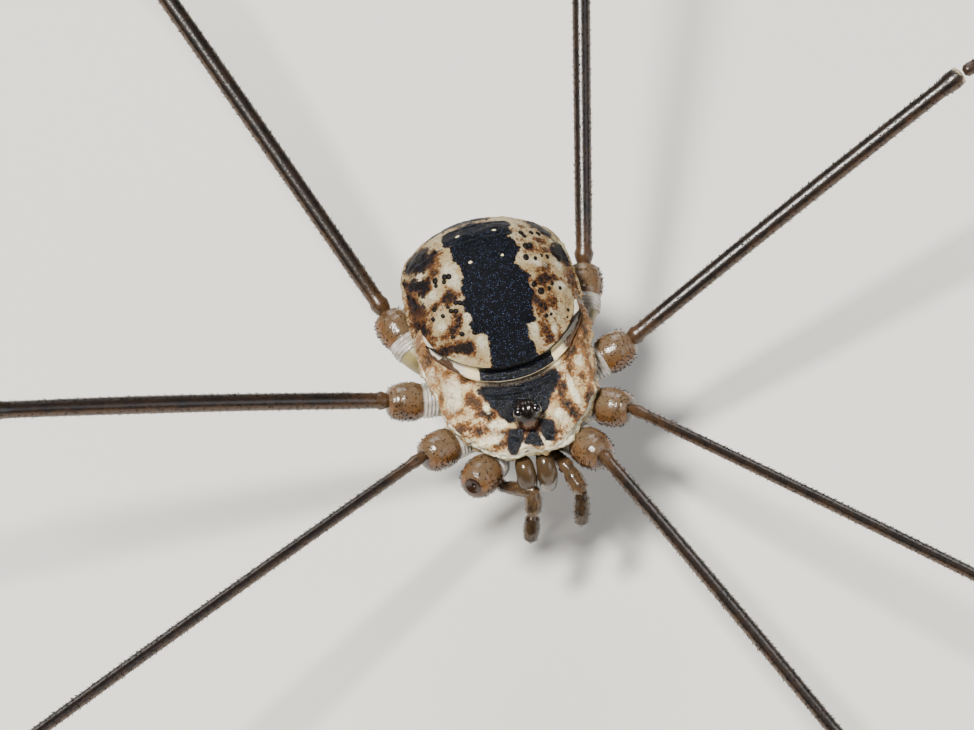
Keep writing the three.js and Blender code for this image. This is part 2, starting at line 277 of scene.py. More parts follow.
def skin_normals(angle, y):
    """Outward directions of the smooth body, from two small steps on it."""
    here = skin_places(angle, y)
    around = skin_places(angle + NORMAL_STEP, y) - here
    inside = np.where(y > MIDDLE, -NORMAL_STEP, NORMAL_STEP)
    along = (skin_places(angle, y + inside) - here) * np.sign(inside)[:, None]
    normal = np.cross(around, along)
    return -normal / np.maximum(np.linalg.norm(normal, axis=1), 1e-9)[:, None]


WIDEST_Y = 1.4
print("widest at", round(float(half_width(np.array([WIDEST_Y]))[0]), 2), "mm from the middle")

# %% [markdown]
# The abdomen's front edge is an arc that bows forward. Its place at a given side distance is where
# a circle runs. Ahead of it lies a narrow plate with the black roll, then the shield proper, so
# "distance ahead of the edge" is what both pieces are shaped and coloured by.

# %% The seam between abdomen and shield
EDGE_RADIUS, EDGE_FRONT = 2.0, -0.53
EDGE_CENTRE = EDGE_FRONT + EDGE_RADIUS
EDGE_REACH = 0.992 * EDGE_RADIUS
SEARCH_ROUNDS = 14
WING_END, WING_RUN = 1.1, 0.5


def seam_y(x):
    return EDGE_CENTRE - np.sqrt(EDGE_RADIUS ** 2 - np.minimum(np.abs(x), EDGE_REACH) ** 2)


def seam_at_angle(angle):
    """Where the seam crosses a line along the body: each round goes halfway to the answer."""
    y = np.zeros_like(angle)
    for _ in range(SEARCH_ROUNDS):
        y = 0.5 * y + 0.5 * seam_y(np.sin(angle) * half_width(y))
    return y


def wing_fade(y):
    """1 over most of the seam, falling to 0 where the shield's wings run out."""
    return np.clip((WING_END - y) / WING_RUN, 0, 1)


print("seam from", EDGE_FRONT, "to", round(float(seam_y(2.1)), 2))

# %% [markdown]
# Markings are drawn on a flat map of the skin. On the abdomen it is "girth", the way round from the
# top of the back in millimetres, and y; on the flat shield it is plain x and y. An outline on the
# map gives each skin point its signed distance, and the material cuts a crisp, slightly ragged
# edge from it, however coarse the mesh is. Round marks add up to a soft strength.

# %% Marks on the skin map
MM_PER_RADIAN = 2.0
PIXELS_PER_MM = 40
SPOT_FALL, SPOT_STRETCH = 0.7, 1.15


def outline_distance(girth, y, outline):
    """Signed distance to a closed outline, negative inside."""
    points = np.array(outline, float)
    nearest = np.full(girth.shape, 1e9)
    inside = np.zeros(girth.shape, bool)
    for (ax, ay), (bx, by) in zip(points, np.roll(points, -1, 0)):
        dx, dy = bx - ax, by - ay
        t = np.clip(((girth - ax) * dx + (y - ay) * dy) / (dx * dx + dy * dy + 1e-12), 0, 1)
        nearest = np.minimum(nearest, np.hypot(girth - ax - t * dx, y - ay - t * dy))
        if ay != by:
            crosses = (ay > y) != (by > y)
            inside ^= crosses & (girth < dx * (y - ay) / (by - ay) + ax)
    return np.where(inside, -nearest, nearest)


def spots_strength(girth, y, spots):
    """Sum of soft spots: place on the map, half sizes in photo pixels, and tilt in degrees."""
    total = np.zeros(girth.shape)
    for place_girth, place_y, wide, high, tilt in spots:
        a = math.radians(tilt)
        u, v = girth - place_girth, place_y - y
        across = (u * math.cos(a) + v * math.sin(a)) * PIXELS_PER_MM / wide
        along = (v * math.cos(a) - u * math.sin(a)) * PIXELS_PER_MM / high / SPOT_STRETCH
        total += np.exp(-SPOT_FALL * (across ** 2 + along ** 2))
    return total


print("one photo pixel is", 1 / PIXELS_PER_MM, "mm")

# %% [markdown]
# The abdomen is cream with a black saddle down its back, blotches of rust and umber at both
# sides, and a few pale spots. The saddle's outline follows the photograph, corner by corner.

# %% The abdomen's marks
SADDLE = [
    (-0.93, 3.4), (-0.9, 2.93), (-0.78, 2.79), (-0.71, 2.86), (-0.74, 2.53), (-0.76, 2.31),
    (-0.62, 2.12), (-0.57, 1.92), (-0.67, 1.61), (-0.76, 1.44), (-0.66, 1.27), (-0.78, 1.19),
    (-0.76, 1.06), (-0.81, 0.98), (-0.71, 0.89), (-0.67, 0.74), (-0.73, 0.63), (-0.73, 0.49),
    (-0.43, 0.38), (-0.41, 0.22), (-0.44, -0.01), (-0.5, -0.7), (0.64, -0.7), (0.62, -0.24),
    (0.56, -0.02), (0.53, 0.19), (0.53, 0.37), (0.77, 0.43), (0.75, 0.56), (0.76, 0.77),
    (0.85, 0.95), (0.92, 1.11), (0.86, 1.19), (0.82, 1.29), (0.91, 1.46), (0.85, 1.6), (0.7, 1.72),
    (0.61, 1.84), (0.68, 2.0), (0.79, 2.15), (0.89, 2.3), (0.82, 2.4), (0.78, 2.54), (0.67, 2.7),
    (0.89, 2.86), (0.8, 2.99), (0.95, 3.3), (0.79, 3.45), (0.49, 3.5), (0.0, 3.55), (-0.46, 3.5),
    (-0.7, 3.41),
]
FLANK_PATCHES = [
    [(-1.78, 3.36), (-1.4, 3.13), (-1.4, 2.88), (-1.12, 2.84), (-1.1, 2.76), (-1.36, 2.68),
     (-1.28, 2.56), (-1.56, 2.5), (-2.09, 2.67), (-2.61, 3.0), (-2.5, 3.3)],
    [(-2.69, 2.83), (-2.13, 2.47), (-1.52, 2.2), (-1.52, 1.96), (-1.77, 1.87), (-2.21, 2.22),
     (-2.61, 2.57)],
    [(-2.52, 2.34), (-2.11, 1.92), (-1.88, 1.57), (-1.93, 1.44), (-2.28, 1.68), (-2.5, 2.06)],
    [(1.45, 3.3), (2.0, 3.45), (2.4, 3.1), (1.91, 2.68), (1.74, 2.9)],
    [(1.82, 2.38), (2.2, 2.6), (2.6, 2.72), (2.6, 2.2), (2.4, 2.0), (1.9, 1.97), (1.82, 2.22)],
]
REAR_BAND = [(-1.15, 3.66), (0.35, 3.66), (0.5, 3.75), (0.6, 4.3), (-1.9, 4.3), (-1.7, 3.55)]
# Soft spots: girth, y, half sizes in photo pixels, tilt in degrees.
SADDLE_FLECKS = [
    (-0.5, 3.06, 2.2, 1.6, 15), (0.42, 2.98, 1.8, 1.3, 0), (0.39, 2.11, 1.8, 1.3, 0),
    (-0.37, 2.13, 1.9, 1.6, 0),
]
ABDOMEN_RUST = [
    (-1.41, 1.46, 15, 3, -8), (-1.07, 1.39, 8, 3, 0), (-1.42, 0.7, 14, 3, 8),
    (-1.29, 0.32, 14, 4, 12), (-1.11, 0.23, 10, 4, 15), (-0.91, 0.16, 6, 4, 20),
    (-1.02, 1.57, 5, 6, 0), (-1.33, 2.63, 8, 5, -20), (-1.25, 2.26, 10, 5, 0),
    (-1.12, 0.79, 6, 6, 0), (-0.92, 0.88, 4, 6, 0), (-1.6, 1.92, 4, 6, 0), (-2.06, 1.08, 10, 3, 35),
    (1.33, 1.49, 9, 6, 0), (1.17, 1.33, 7, 3, 0), (1.61, 1.41, 8, 3, 0), (0.92, 0.92, 5, 5, 0),
    (1.05, 0.7, 6, 5, 0), (0.97, 0.21, 7, 7, 0), (1.16, 2.29, 7, 5, 0), (1.58, 2.24, 8, 3, 0),
    (1.36, 1.79, 8, 4, 0), (1.18, 3.07, 4, 4, 0), (1.38, 0.87, 5, 8, 0), (1.08, -0.01, 8, 3, -50),
    (1.56, 2.57, 7, 4, 0), (1.33, 0.1, 4, 6, 0), (-2.3, 1.35, 13, 13, 0), (-2.15, 0.75, 9, 9, 20),
    (-2.5, 2.0, 10, 13, 0), (2.35, 1.5, 11, 14, 0), (-1.75, 0.35, 6, 5, 20),
]
ABDOMEN_PALE = [
    (-1.52, 1.71, 5, 4, 0), (-1.8, 2.43, 7, 4, 0), (-1.51, 0.9, 6, 5, 0), (-1.83, 1.79, 4, 4, 0),
    (-0.79, 0.79, 4, 5, 0), (-0.84, 1.76, 7, 6, 0), (2.06, 2.58, 4, 4, 0), (1.91, 1.82, 5, 4, 0),
    (1.73, 1.27, 7, 4, 0), (1.15, 1.84, 10, 4, 0), (1.24, 0.17, 4, 5, 0), (-0.6, 0.2, 5, 6, 0),
    (-0.93, 2.15, 8, 6, 0), (0.7, 0.25, 4, 6, 0),
]
print(len(SADDLE), "points in the saddle's outline")

# %% [markdown]
# Both pieces of the body start as a globe whose poles lie fore and aft. Each point of the globe is
# moved onto the body by a rule: its longitude is the angle round the section, its latitude runs
# from one end of the piece to the other. A globe closes itself, so neither piece needs a cap, and
# the rows can be crowded where the fine relief is.

# %% The globe that both pieces start from
HILL_LAYERS = 3
WALL_INSIDE = 0.97
POLE_GAP = 0.002


def globe(around, along):
    """The globe with, for each of its points, its share of the way along and its angle round."""
    bm = bmesh.new()
    bmesh.ops.create_uvsphere(bm, u_segments=around, v_segments=along, radius=1)
    bm.verts.ensure_lookup_table()
    place = np.array([v.co for v in bm.verts])
    share = np.arccos(np.clip(place[:, 2], -1, 1)) / math.pi
    angle = np.arctan2(place[:, 0], place[:, 1])
    return bm, share, angle


def set_places(bm, places):
    for v, place in zip(bm.verts, places):
        v.co = place
    bmesh.ops.recalc_face_normals(bm, faces=bm.faces)
    bm.normal_update()


def keep(bm, name, values):
    layer = bm.verts.layers.float.new(name)
    for v, value in zip(bm.verts, values):
        v[layer] = float(value)


def bump_at(distance, centre, width):
    return np.exp(-((distance - centre) / width) ** 2)


def rumple(places, size, seed):
    """Smooth random hills of about that width in millimetres, from -1 to 1."""
    shift = Vector((seed, -seed, 2 * seed))
    return np.array([noise.fractal(Vector(p) / size + shift, 1.0, 2.0, HILL_LAYERS) for p in places])


def pulled_in(places, wall, centre, share):
    """Draws the wall rows in towards a centre, a little inside the skin, so they close the piece."""
    return np.where(wall[:, None], centre + (places - centre) * WALL_INSIDE * share[:, None], places)


print("a globe's share runs from 0 to 1, its angle from -pi to pi")

# %% [markdown]
# The abdomen is a leathery bag. It has a shallow crease at each segment's border, lengthwise folds
# on the flanks, where it can swell, and a pleat above its widest line. These are ridges and
# grooves of a few hundredths of a millimetre, moved along the skin's own directions: they are
# real shape, because they show in the outline and catch the light. The front edge rolls down
# into the seam, and the globe's first rows close it as an inner wall.

# %% The abdomen's mesh
WALL = 0.05
LIP_RUN, LIP_DROP = 0.16, 0.07
SEGMENT_BORDERS = (0.58, 1.3, 2.02, 2.76, 3.4, 3.85)
FLANK_FOLDS = (2.5, 2.75, 3.0)
BELLY_CREASES, BELLY_GIRTH = (0.6, 1.4, 2.2, 3.0), 3.6
ABDOMEN_CENTRE = np.array([0, 0.4, 5.6])

bm, share, angle = globe(256, 190)
edge = seam_at_angle(angle)
run = np.clip((share - WALL) / (1 - WALL), 0, 1)
y = edge + (BODY_REAR - POLE_GAP - edge) * np.sin(run * math.pi / 2)
places = skin_places(angle, y)
wall = share < WALL
behind = np.where(wall, 0, y - seam_y(places[:, 0]))
girth = MM_PER_RADIAN * angle
lip = np.clip(1 - behind / LIP_RUN, 0, 1)
lift = -LIP_DROP * (1 - np.sqrt(np.clip(1 - lip ** 2, 0, 1))) * wing_fade(edge)
for line in SEGMENT_BORDERS:
    lift -= 0.02 * bump_at(y, line, 0.04) - 0.012 * bump_at(y, line + 0.1, 0.06)
lift += 0.02 * rumple(places, 0.3, 3.1) + 0.012 * rumple(places, 0.12, 5.9)
flank = np.clip((y - 0.7) / 0.8, 0, 1) * np.clip((3.9 - y) / 0.5, 0, 1)
for fold in FLANK_FOLDS:
    lift -= 0.035 * flank * bump_at(np.abs(girth), fold, 0.05)
    lift += 0.02 * flank * bump_at(np.abs(girth), fold + 0.12, 0.05)
for line in BELLY_CREASES:
    lift -= 0.04 * bump_at(y, line, 0.05) * (np.abs(girth) > BELLY_GIRTH)
above_rim = places[:, 2] - widest_height(y)
pleat_start, pleat_end = np.clip((y - 0.9) / 0.3, 0, 1), np.clip((2.4 - y) / 0.5, 0, 1)
pleat = bump_at(above_rim, 0.12, 0.07) * pleat_start * pleat_end
lift += 0.06 * pleat - 0.05 * bump_at(above_rim, 0.28, 0.05) * pleat_start
places += skin_normals(angle, y) * lift[:, None]
set_places(bm, pulled_in(places, wall, ABDOMEN_CENTRE, np.clip(share / WALL, 0, 1)))

keep(bm, "saddle", outline_distance(girth, y, SADDLE))
keep(bm, "dark", np.min([outline_distance(girth, y, p) for p in [*FLANK_PATCHES, REAR_BAND]], 0))
keep(bm, "rust", spots_strength(girth, y, ABDOMEN_RUST))
keep(bm, "pale", spots_strength(girth, y, ABDOMEN_PALE))
keep(bm, "flecks", spots_strength(girth, y, SADDLE_FLECKS))
keep(bm, "pleat", pleat)
abdomen_bm = bm
print(len(bm.verts), "points on the abdomen")

# %% [markdown]
# The shield covers head and thorax. It is cream too, with a black patch behind the eye mound and
# three black blots ahead of it, a reddish brown floor between them and rust all round. Its edge
# isn't smooth: it bulges out over the hips and draws in between them.

# %% The shield's marks
MOUND_AT = Vector((0, -1.84, 6.26))
SHIELD_BLACK = [
    [(-1.0, -0.84), (-0.88, -1.13), (-0.76, -1.38), (-0.61, -1.68), (-0.45, -1.82), (-0.24, -1.83),
     (0.07, -1.81), (0.36, -1.82), (0.51, -1.73), (0.66, -1.53), (0.8, -1.29), (1.03, -1.0),
     (0.97, -0.77), (0.71, -0.87), (0.29, -0.98), (-0.1, -1.0), (-0.52, -0.94), (-0.87, -0.8)],
    [(-0.52, -2.0), (-0.16, -2.04), (-0.2, -2.27), (-0.43, -2.5), (-0.58, -2.47), (-0.66, -2.3),
     (-0.6, -2.17)],
    [(-0.14, -2.21), (0.04, -2.13), (0.19, -2.29), (0.22, -2.48), (0.03, -2.52), (-0.12, -2.43),
     (-0.22, -2.39)],
    [(0.31, -1.94), (0.6, -2.0), (0.54, -2.42), (0.3, -2.38), (0.26, -2.16)],
]
ROLL_BLACK = [(-0.88, -0.3), (1.0, -0.15), (1.04, -0.6), (0.7, -0.86), (0.1, -1.0), (-0.42, -1.0),
              (-0.94, -0.8)]
SHIELD_ORANGE = [(-0.34, -1.8), (0.38, -1.9), (0.32, -2.2), (-0.05, -2.26), (-0.3, -2.1)]
# Soft spots: x, y, half sizes in photo pixels, tilt in degrees.
SHIELD_BROWN = [
    (-1.91, 0.42, 6, 5, 0), (-1.65, -0.19, 4, 5, 30), (-1.34, -0.51, 5, 2.5, 0),
    (-1.26, -1.0, 4, 5, 0), (-1.1, -1.17, 5, 5, 0), (-1.01, -1.41, 5, 3, 0),
    (-0.88, -1.53, 4, 5, 0), (-1.63, -1.09, 5, 3, 20), (-1.09, -1.79, 12, 3, 12),
    (-0.63, -2.03, 6, 5, 0), (-1.96, 0.14, 5, 2.5, 30), (-2.07, 0.46, 3, 5, 0),
    (1.56, -0.27, 5, 7, 0), (1.13, -1.2, 5, 4, 0), (1.07, -0.93, 4, 2.5, 0), (0.95, -1.39, 3, 8, 0),
    (1.38, -0.73, 4, 6, 0), (1.65, -0.97, 3, 3, 0), (1.07, -1.69, 6, 5, 0), (1.89, 0.5, 3, 9, 0),
    (1.96, 0.24, 3, 8, 0), (1.43, -0.37, 6, 4, -20), (1.81, -0.15, 4, 4, 0), (1.32, 0.17, 3, 5, 0),
    (1.72, 0.06, 3, 6, 0), (-1.93, -0.6, 2, 8, 0), (-1.89, -1.02, 6, 3, 30),
    (-1.61, -1.47, 8, 3, 25), (1.87, -0.78, 2, 12, 0), (1.6, -1.43, 3, 9, 20),
    (-1.86, 0.69, 5, 4, 0), (-1.21, -0.41, 8, 3, 10), (-0.81, -2.2, 8, 2, 10),
    (0.54, -2.24, 6, 3, 0), (1.19, -1.91, 4, 6, 30), (2.05, 0.8, 4, 9, 0), (2.1, 1.15, 3, 6, 0),
    (-2.1, 0.95, 4, 6, 0),
]
SHIELD_PALE = [
    (-1.58, -0.7, 9, 8, 0), (-1.7, -0.38, 6, 5, 0), (-1.64, -0.92, 5, 6, 0),
    (-0.35, -2.38, 14, 3, 0), (-1.03, -2.04, 12, 3, 12), (-0.7, -1.82, 10, 4, 15),
    (1.31, -1.46, 4, 8, 0), (1.29, -1.08, 3, 6, 0), (1.06, -0.6, 4, 4, 0), (1.63, -0.57, 5, 5, 0),
    (0.81, -1.91, 8, 4, 35), (-2.03, 0.1, 4, 5, 0), (0.3, -2.36, 5, 4, 0), (-0.91, -1.33, 3, 4, 0),
]
# How far the shield's edge stands out past the smooth body: y and millimetres, for each side.
LOBES = {
    -1: [(-2.6, 0), (-1.9, -0.02), (-1.3, 0.06), (-0.8, 0.02), (-0.42, -0.15), (-0.15, -0.18),
         (0.07, -0.1), (0.4, 0.02), (0.9, 0.02), (1.4, -0.08)],
    1: [(-2.6, 0), (-1.9, -0.02), (-1.4, 0.04), (-0.9, -0.02), (-0.3, 0.03), (0.0, -0.05),
        (0.5, 0.09), (1.1, 0.09), (1.4, 0.0)],
}
print(len(SHIELD_BROWN), "brown marks on the shield")

# %% [markdown]
# The shield carries more relief. Close ahead of the seam runs the black roll, like a little pipe,
# then a groove, a low band, and two ridges across the middle. The rest is softly crumpled. The
# front edge is a thin folded rim with a notch over the jaws, and the skin swells up to carry the
# eye mound. First the globe's points are moved to their places on the plain shield, whose last
# rows are the inner wall, and four measures are taken: how far each point lies ahead of the
# seam and above the rim, and how far it is on the back and in the middle.

# %% The shield's mesh
BACK_WALL = 0.96
ROW_CROWDING, ROW_STRETCH = 1.35, 0.35
SUNK = 0.03
ROLL_AT, ROLL_HALF, ROLL_HEIGHT, ROLL_MIDDLE = 0.17, 0.15, 0.05, 0.14
# Ridges and grooves: distance ahead of the seam, height and half width.
SEAM_RELIEF = [(0.0, -0.16, 0.03), (0.335, -0.06, 0.025), (0.4, 0.035, 0.045), (0.475, -0.04, 0.02)]
MIDDLE_RELIEF = [(0.56, 0.05, 0.05), (0.72, 0.05, 0.05), (0.64, -0.05, 0.03), (0.82, -0.05, 0.035)]
MOUND_FOOT, MOUND_RISE = 0.42, 0.14
SHIELD_CENTRE = np.array([0, -0.2, 5.4])

bm, share, angle = globe(256, 210)
edge = seam_at_angle(angle)
run = np.clip(share / BACK_WALL, 0, 1)
start = BODY_FRONT + POLE_GAP
y = np.maximum(edge - (edge - start) * (1 - run) ** ROW_CROWDING * (1 + ROW_STRETCH * run), start)
places = skin_places(angle, y)
wall = share > BACK_WALL
x = places[:, 0].copy()
near_rim = np.clip(np.abs(angle) / math.radians(75), 0, 1) ** 2 * np.clip(2.2 - np.abs(angle), 0, 1)
lobe = np.where(x < 0, np.interp(y, *zip(*LOBES[-1])), np.interp(y, *zip(*LOBES[1])))
places[:, 0] += np.sign(x) * lobe * near_rim * wing_fade(y)
places[:, 1] += 0.13 * np.exp(-((x + 0.08) / 0.28) ** 2) * np.clip((-2.2 - y) / 0.3, 0, 1)
ahead = np.where(wall, 0, seam_y(x) - y)
above_rim = places[:, 2] - widest_height(y)
on_back = np.clip(above_rim / 0.25, 0, 1)
middle = np.exp(-(x / 1.0) ** 8)
print(len(bm.verts), "points on the shield")

# %% [markdown]
# From these measures the relief is added up as one height for each point, and every point is moved
# that far along the skin's own direction. The roll's section is half an ellipse; ridges and
# grooves are soft bumps at a given distance. So the relief follows the seam's arc by itself.

# %% The shield's relief
pipe = np.clip(1 - ((ahead - ROLL_AT) / ROLL_HALF) ** 2, 0, 1) ** 0.5
lift = (ROLL_HEIGHT + ROLL_MIDDLE * middle) * pipe - SUNK
for at, height, width in SEAM_RELIEF:
    lift += height * bump_at(ahead, at, width)
for at, height, width in MIDDLE_RELIEF:
    lift += middle * height * bump_at(ahead, at, width)
lift *= on_back * wing_fade(y)
lift += (0.05 * bump_at(above_rim, 0.03, 0.06) - 0.04 * bump_at(above_rim, 0.17, 0.05)) * wing_fade(y)
from_mound = np.hypot(x - MOUND_AT.x, y - MOUND_AT.y)
lift += MOUND_RISE * np.exp(-(from_mound / MOUND_FOOT) ** 4) * on_back
calm = np.clip((ahead - 0.3) / 0.2, 0.1, 1) * (1 - 0.7 * middle * (y > -1.6)) * wing_fade(y)
lift += (0.11 * rumple(places, 0.6, 7.3) + 0.065 * rumple(places, 0.24, 1.7)) * calm
lift += 0.012 * rumple(places, 0.09, 2.9)
places += skin_normals(angle, y) * lift[:, None]
set_places(bm, pulled_in(places, wall, SHIELD_CENTRE, np.clip((1 - share) / (1 - BACK_WALL), 0, 1)))

# The marks are drawn in plain x and y, so they're kept off the underside.
above = above_rim > -0.05
black = np.min([outline_distance(x, y, outline) for outline in SHIELD_BLACK], 0)
keep(bm, "black", np.where(above, black, 1))
keep(bm, "roll", np.where(above, outline_distance(x, y, ROLL_BLACK), 1))
keep(bm, "orange", np.where(above, outline_distance(x, y, SHIELD_ORANGE), 1))
keep(bm, "rust", np.where(above, spots_strength(x, y, SHIELD_BROWN), 0))
keep(bm, "pale", np.where(above, spots_strength(x, y, SHIELD_PALE), 0))
keep(bm, "ahead", np.where(on_back > 0.5, ahead + 0.3 * (1 - wing_fade(y)), 1))
keep(bm, "above_rim", above_rim)
keep(bm, "middle", middle)
keep(bm, "outer", np.abs(x) / half_width(y) * np.clip((y + 1.9) / 0.8, 0, 1))
shield_bm = bm
print("relief from", round(float(lift.min()), 2), "to", round(float(lift.max()), 2), "mm")

# %% [markdown]
# A harvestman's skin is cuticle, a leathery shell with a fine grain of waxy granules, so light
# breaks up on it into small glints. The cream ground is stained with rust where noise and the
# soft marks agree. The saddle is nearly black with a blue cast, and on a share of its granules
# pale glints are painted in, as painted highlights. The finest grain is 0.026 mm wide, one pixel
# of the photograph. Light enters wax a little, so the shader has a small share of subsurface light.

# %% Leathery cuticle
CREAM, PALE_CREAM, SHADOW_CREAM = linear("#F0E1B6"), linear("#FBF2D2"), linear("#D0B47E")
RUST, DEEP_RUST = linear("#8E5C2C"), linear("#4A2C14")
# The pit colour is painted shade for the hollows of the grain.
UMBER, PIT_SHADE_BROWN = linear("#120B08"), linear("#5A4526")
# The two spark colours are painted highlights: glints painted on the black's granules.
BLUE_BLACK, DIM_PAINTED_GLINT, PAINTED_GLINT = linear("#020306"), linear("#0E1424"), linear("#6478A6")
GRAIN_PER_MM = 38
NOISES = [
    # name, patches per millimetre, detail
    ("broad", 1.6, 3), ("ragged", 5, 5), ("fine", 17, 3), ("grain", GRAIN_PER_MM, 1),
]
WAXY = {"Subsurface Weight": 0.06, "Subsurface Radius": (1.0, 0.6, 0.35), "Subsurface Scale": 0.1 * MM}


def cuticle_start(name, marks):
    """A new material with its granules, and by name the skin's marks and the noises, centred on 0."""
    material, nodes, shader = start_material(name)
    place = add(nodes, "ShaderNodeTexCoord").outputs["Object"]
    seen = {mark: add(nodes, "ShaderNodeAttribute", attribute_name=mark).outputs["Fac"] for mark in marks}
    for label, per_mm, detail in NOISES:
        patches = add(nodes, "ShaderNodeTexNoise", {
            "Vector": place, "Scale": per_mm * PER_MM, "Detail": detail, "Roughness": 0.6})
        seen[label] = add(nodes, "ShaderNodeMath", {0: patches, 1: 0.5}, operation="SUBTRACT")
    granules = add(nodes, "ShaderNodeTexVoronoi", {
        "Vector": place, "Scale": GRAIN_PER_MM * PER_MM, "Randomness": 1.0})
    return material, nodes, shader, seen, granules


def mottled_ground(nodes, seen, rust_and_shade):
    """Cream with rust mottles where noise and the marks agree, pale clear spots and painted shade in the
    grain's hollows.
    """
    colour = paint(nodes, SHADOW_CREAM, CREAM, seen["broad"], -0.12, 0.14)
    stain_and_shade = frayed(nodes, seen["rust"], (seen["ragged"], 2.6), (seen["fine"], 2.6), (seen["pale"], -0.8))
    # The extra amount adds rust everywhere; on the shield it is partly painted shade for its relief.
    stain_and_shade = add(nodes, "ShaderNodeMath", {0: stain_and_shade, 1: rust_and_shade}, operation="ADD")
    for brown, thin, thick in ((RUST, 0.25, 0.6), (DEEP_RUST, 0.7, 1.05), (UMBER, 1.1, 1.5)):
        colour = paint(nodes, colour, brown, stain_and_shade, thin, thick)
    clear = frayed(nodes, seen["pale"], (seen["ragged"], 2.0))
    colour = paint(nodes, colour, PALE_CREAM, clear, 0.45, 0.8)
    # Painted shade: the noise that sinks the grain's bump also darkens the colour in its hollows.
    pit_shade = frayed(nodes, seen["grain"], (seen["fine"], 1.4))
    outside_pit_shade = add(nodes, "ShaderNodeMapRange", {
        "Value": pit_shade, "From Min": -0.3, "From Max": 0.02, "To Min": 0.42})
    return paint(nodes, PIT_SHADE_BROWN, colour, outside_pit_shade)


def black_with_painted_glints(nodes, granules):
    """Blue-black with painted highlights: dim blue glints on many granules and pale ones on a few."""
    near = add(nodes, "ShaderNodeMapRange", {
        "Value": granules.outputs["Distance"], "From Min": 0.42, "From Max": 0.2})
    lot = add(nodes, "ShaderNodeSeparateColor", {"Color": granules.outputs["Color"]})
    colour = BLUE_BLACK
    for glow, channel, few, many in ((DIM_PAINTED_GLINT, 1, 0.2, 0.7), (PAINTED_GLINT, 0, 0.72, 1.05)):
        picked = add(nodes, "ShaderNodeMapRange", {
            "Value": lot.outputs[channel], "From Min": few, "From Max": many})
        lit = add(nodes, "ShaderNodeMath", {0: near, 1: picked}, operation="MULTIPLY")
        colour = paint(nodes, colour, glow, lit)
    return colour


def grain_bump(nodes, seen, granules, depth):
    height = frayed(nodes, seen["grain"], (granules.outputs["Distance"], -0.5), (seen["fine"], 1.0))
    return add(nodes, "ShaderNodeBump", {"Height": height, "Strength": 1.0, "Distance": depth * MM})


print("grain", round(1 / GRAIN_PER_MM, 3), "mm wide")

# %% [markdown]
# The abdomen's layers, from the ground up: mottled cream, umber flank patches with a rust border,
# the pale pleat, and the black saddle with its painted glints, its own border and four cream
# flecks. The dark skin under the cream shows through it by half, painted glints and all, which
# dulls it and gives it a fine dark grain. Its gloss is low, as on leather.

# %% The abdomen's finish
ABDOMEN_WEAR, UNDERSKIN = 0.05, 0.5

abdomen_cuticle, nodes, shader, seen, granules = cuticle_start(
    "leathery_cuticle_abdomen", ("rust", "pale", "dark", "pleat", "saddle", "flecks"))
colour = mottled_ground(nodes, seen, ABDOMEN_WEAR)
dark = frayed(nodes, seen["dark"], (seen["ragged"], 0.6), (seen["fine"], 0.4))
colour = paint(nodes, colour, DEEP_RUST, dark, 0.09, 0.02)
colour = paint(nodes, colour, UMBER, dark, 0.0, -0.03)
pleat = frayed(nodes, seen["pleat"], (seen["ragged"], 0.8))
colour = paint(nodes, colour, PALE_CREAM, pleat, 0.3, 0.6)
saddle = frayed(nodes, seen["saddle"], (seen["ragged"], 0.24), (seen["fine"], 0.14))
colour = paint(nodes, colour, DEEP_RUST, saddle, 0.04, 0.012)
flecks = frayed(nodes, seen["flecks"], (seen["fine"], 1.2))
# The saddle's black carries painted highlights, glints on its granules; outside the saddle it lies over the
# cream at half strength, painted glints and all.
black = paint(nodes, black_with_painted_glints(nodes, granules), CREAM, flecks, 0.45, 0.6)
shown = add(nodes, "ShaderNodeMapRange", {
    "Value": saddle, "From Min": 0.012, "From Max": 0.004, "To Min": UNDERSKIN})
colour = paint(nodes, colour, black, shown)
feed(shader, {"Base Color": colour, "Normal": grain_bump(nodes, seen, granules, 0.02),
              "Roughness": 0.4, "Specular IOR Level": 0.09, **WAXY})
piece_from(abdomen_bm, "abdomen_skin", abdomen_cuticle, ["abdomen"])

# %% [markdown]
# The shield is the same cuticle, but tighter and glossier, with more rust on its outer parts and a
# pale rim. Extra rust all over it also serves as painted shade for its relief. Its narrow plate
# ahead of the seam is silvery brown at the sides and cream beside the black roll. The groove and
# the seam are drawn by their distance ahead of the abdomen's edge; the seam and the inner wall in
# its gap are painted umber, as painted shade.

# %% The shield's finish
# Extra rust on the shield: partly rust, partly painted shade standing in for the shade of its relief.
SHIELD_RUST_AND_SHADE = 0.28
PLATE_END = 0.335
OCHRE, RED_BROWN = linear("#90663A"), linear("#4A2811")
SILVER, PLATE_BROWN = linear("#D9D0BE"), linear("#4A3524")
BAND_DARK, BAND_LIGHT = linear("#15130F"), linear("#4E463A")

shield_cuticle, nodes, shader, seen, granules = cuticle_start(
    "leathery_cuticle_shield",
    ("rust", "pale", "above_rim", "outer", "orange", "black", "ahead", "roll", "middle"))
colour = mottled_ground(nodes, seen, SHIELD_RUST_AND_SHADE)
rim = frayed(nodes, seen["above_rim"], (seen["ragged"], 0.3))
rim = add(nodes, "ShaderNodeMath", {0: rim, 1: 0.03, 2: 0.1}, operation="COMPARE")
colour = paint(nodes, colour, PALE_CREAM, rim)
side = frayed(nodes, seen["outer"], (seen["broad"], 1.6), (seen["ragged"], 0.8), (seen["fine"], 1.6))
colour = paint(nodes, colour, OCHRE, side, 0.7, 1.25)
orange = frayed(nodes, seen["orange"], (seen["ragged"], 0.12))
colour = paint(nodes, colour, RED_BROWN, orange, 0.03, -0.02)
# Blue-black with painted highlights, glints on its granules, for the black patches and the roll.
black = black_with_painted_glints(nodes, granules)
patch = frayed(nodes, seen["black"], (seen["ragged"], 0.22), (seen["fine"], 0.12))
colour = paint(nodes, colour, DEEP_RUST, patch, 0.04, 0.012)
colour = paint(nodes, colour, black, patch, 0.012, -0.006)

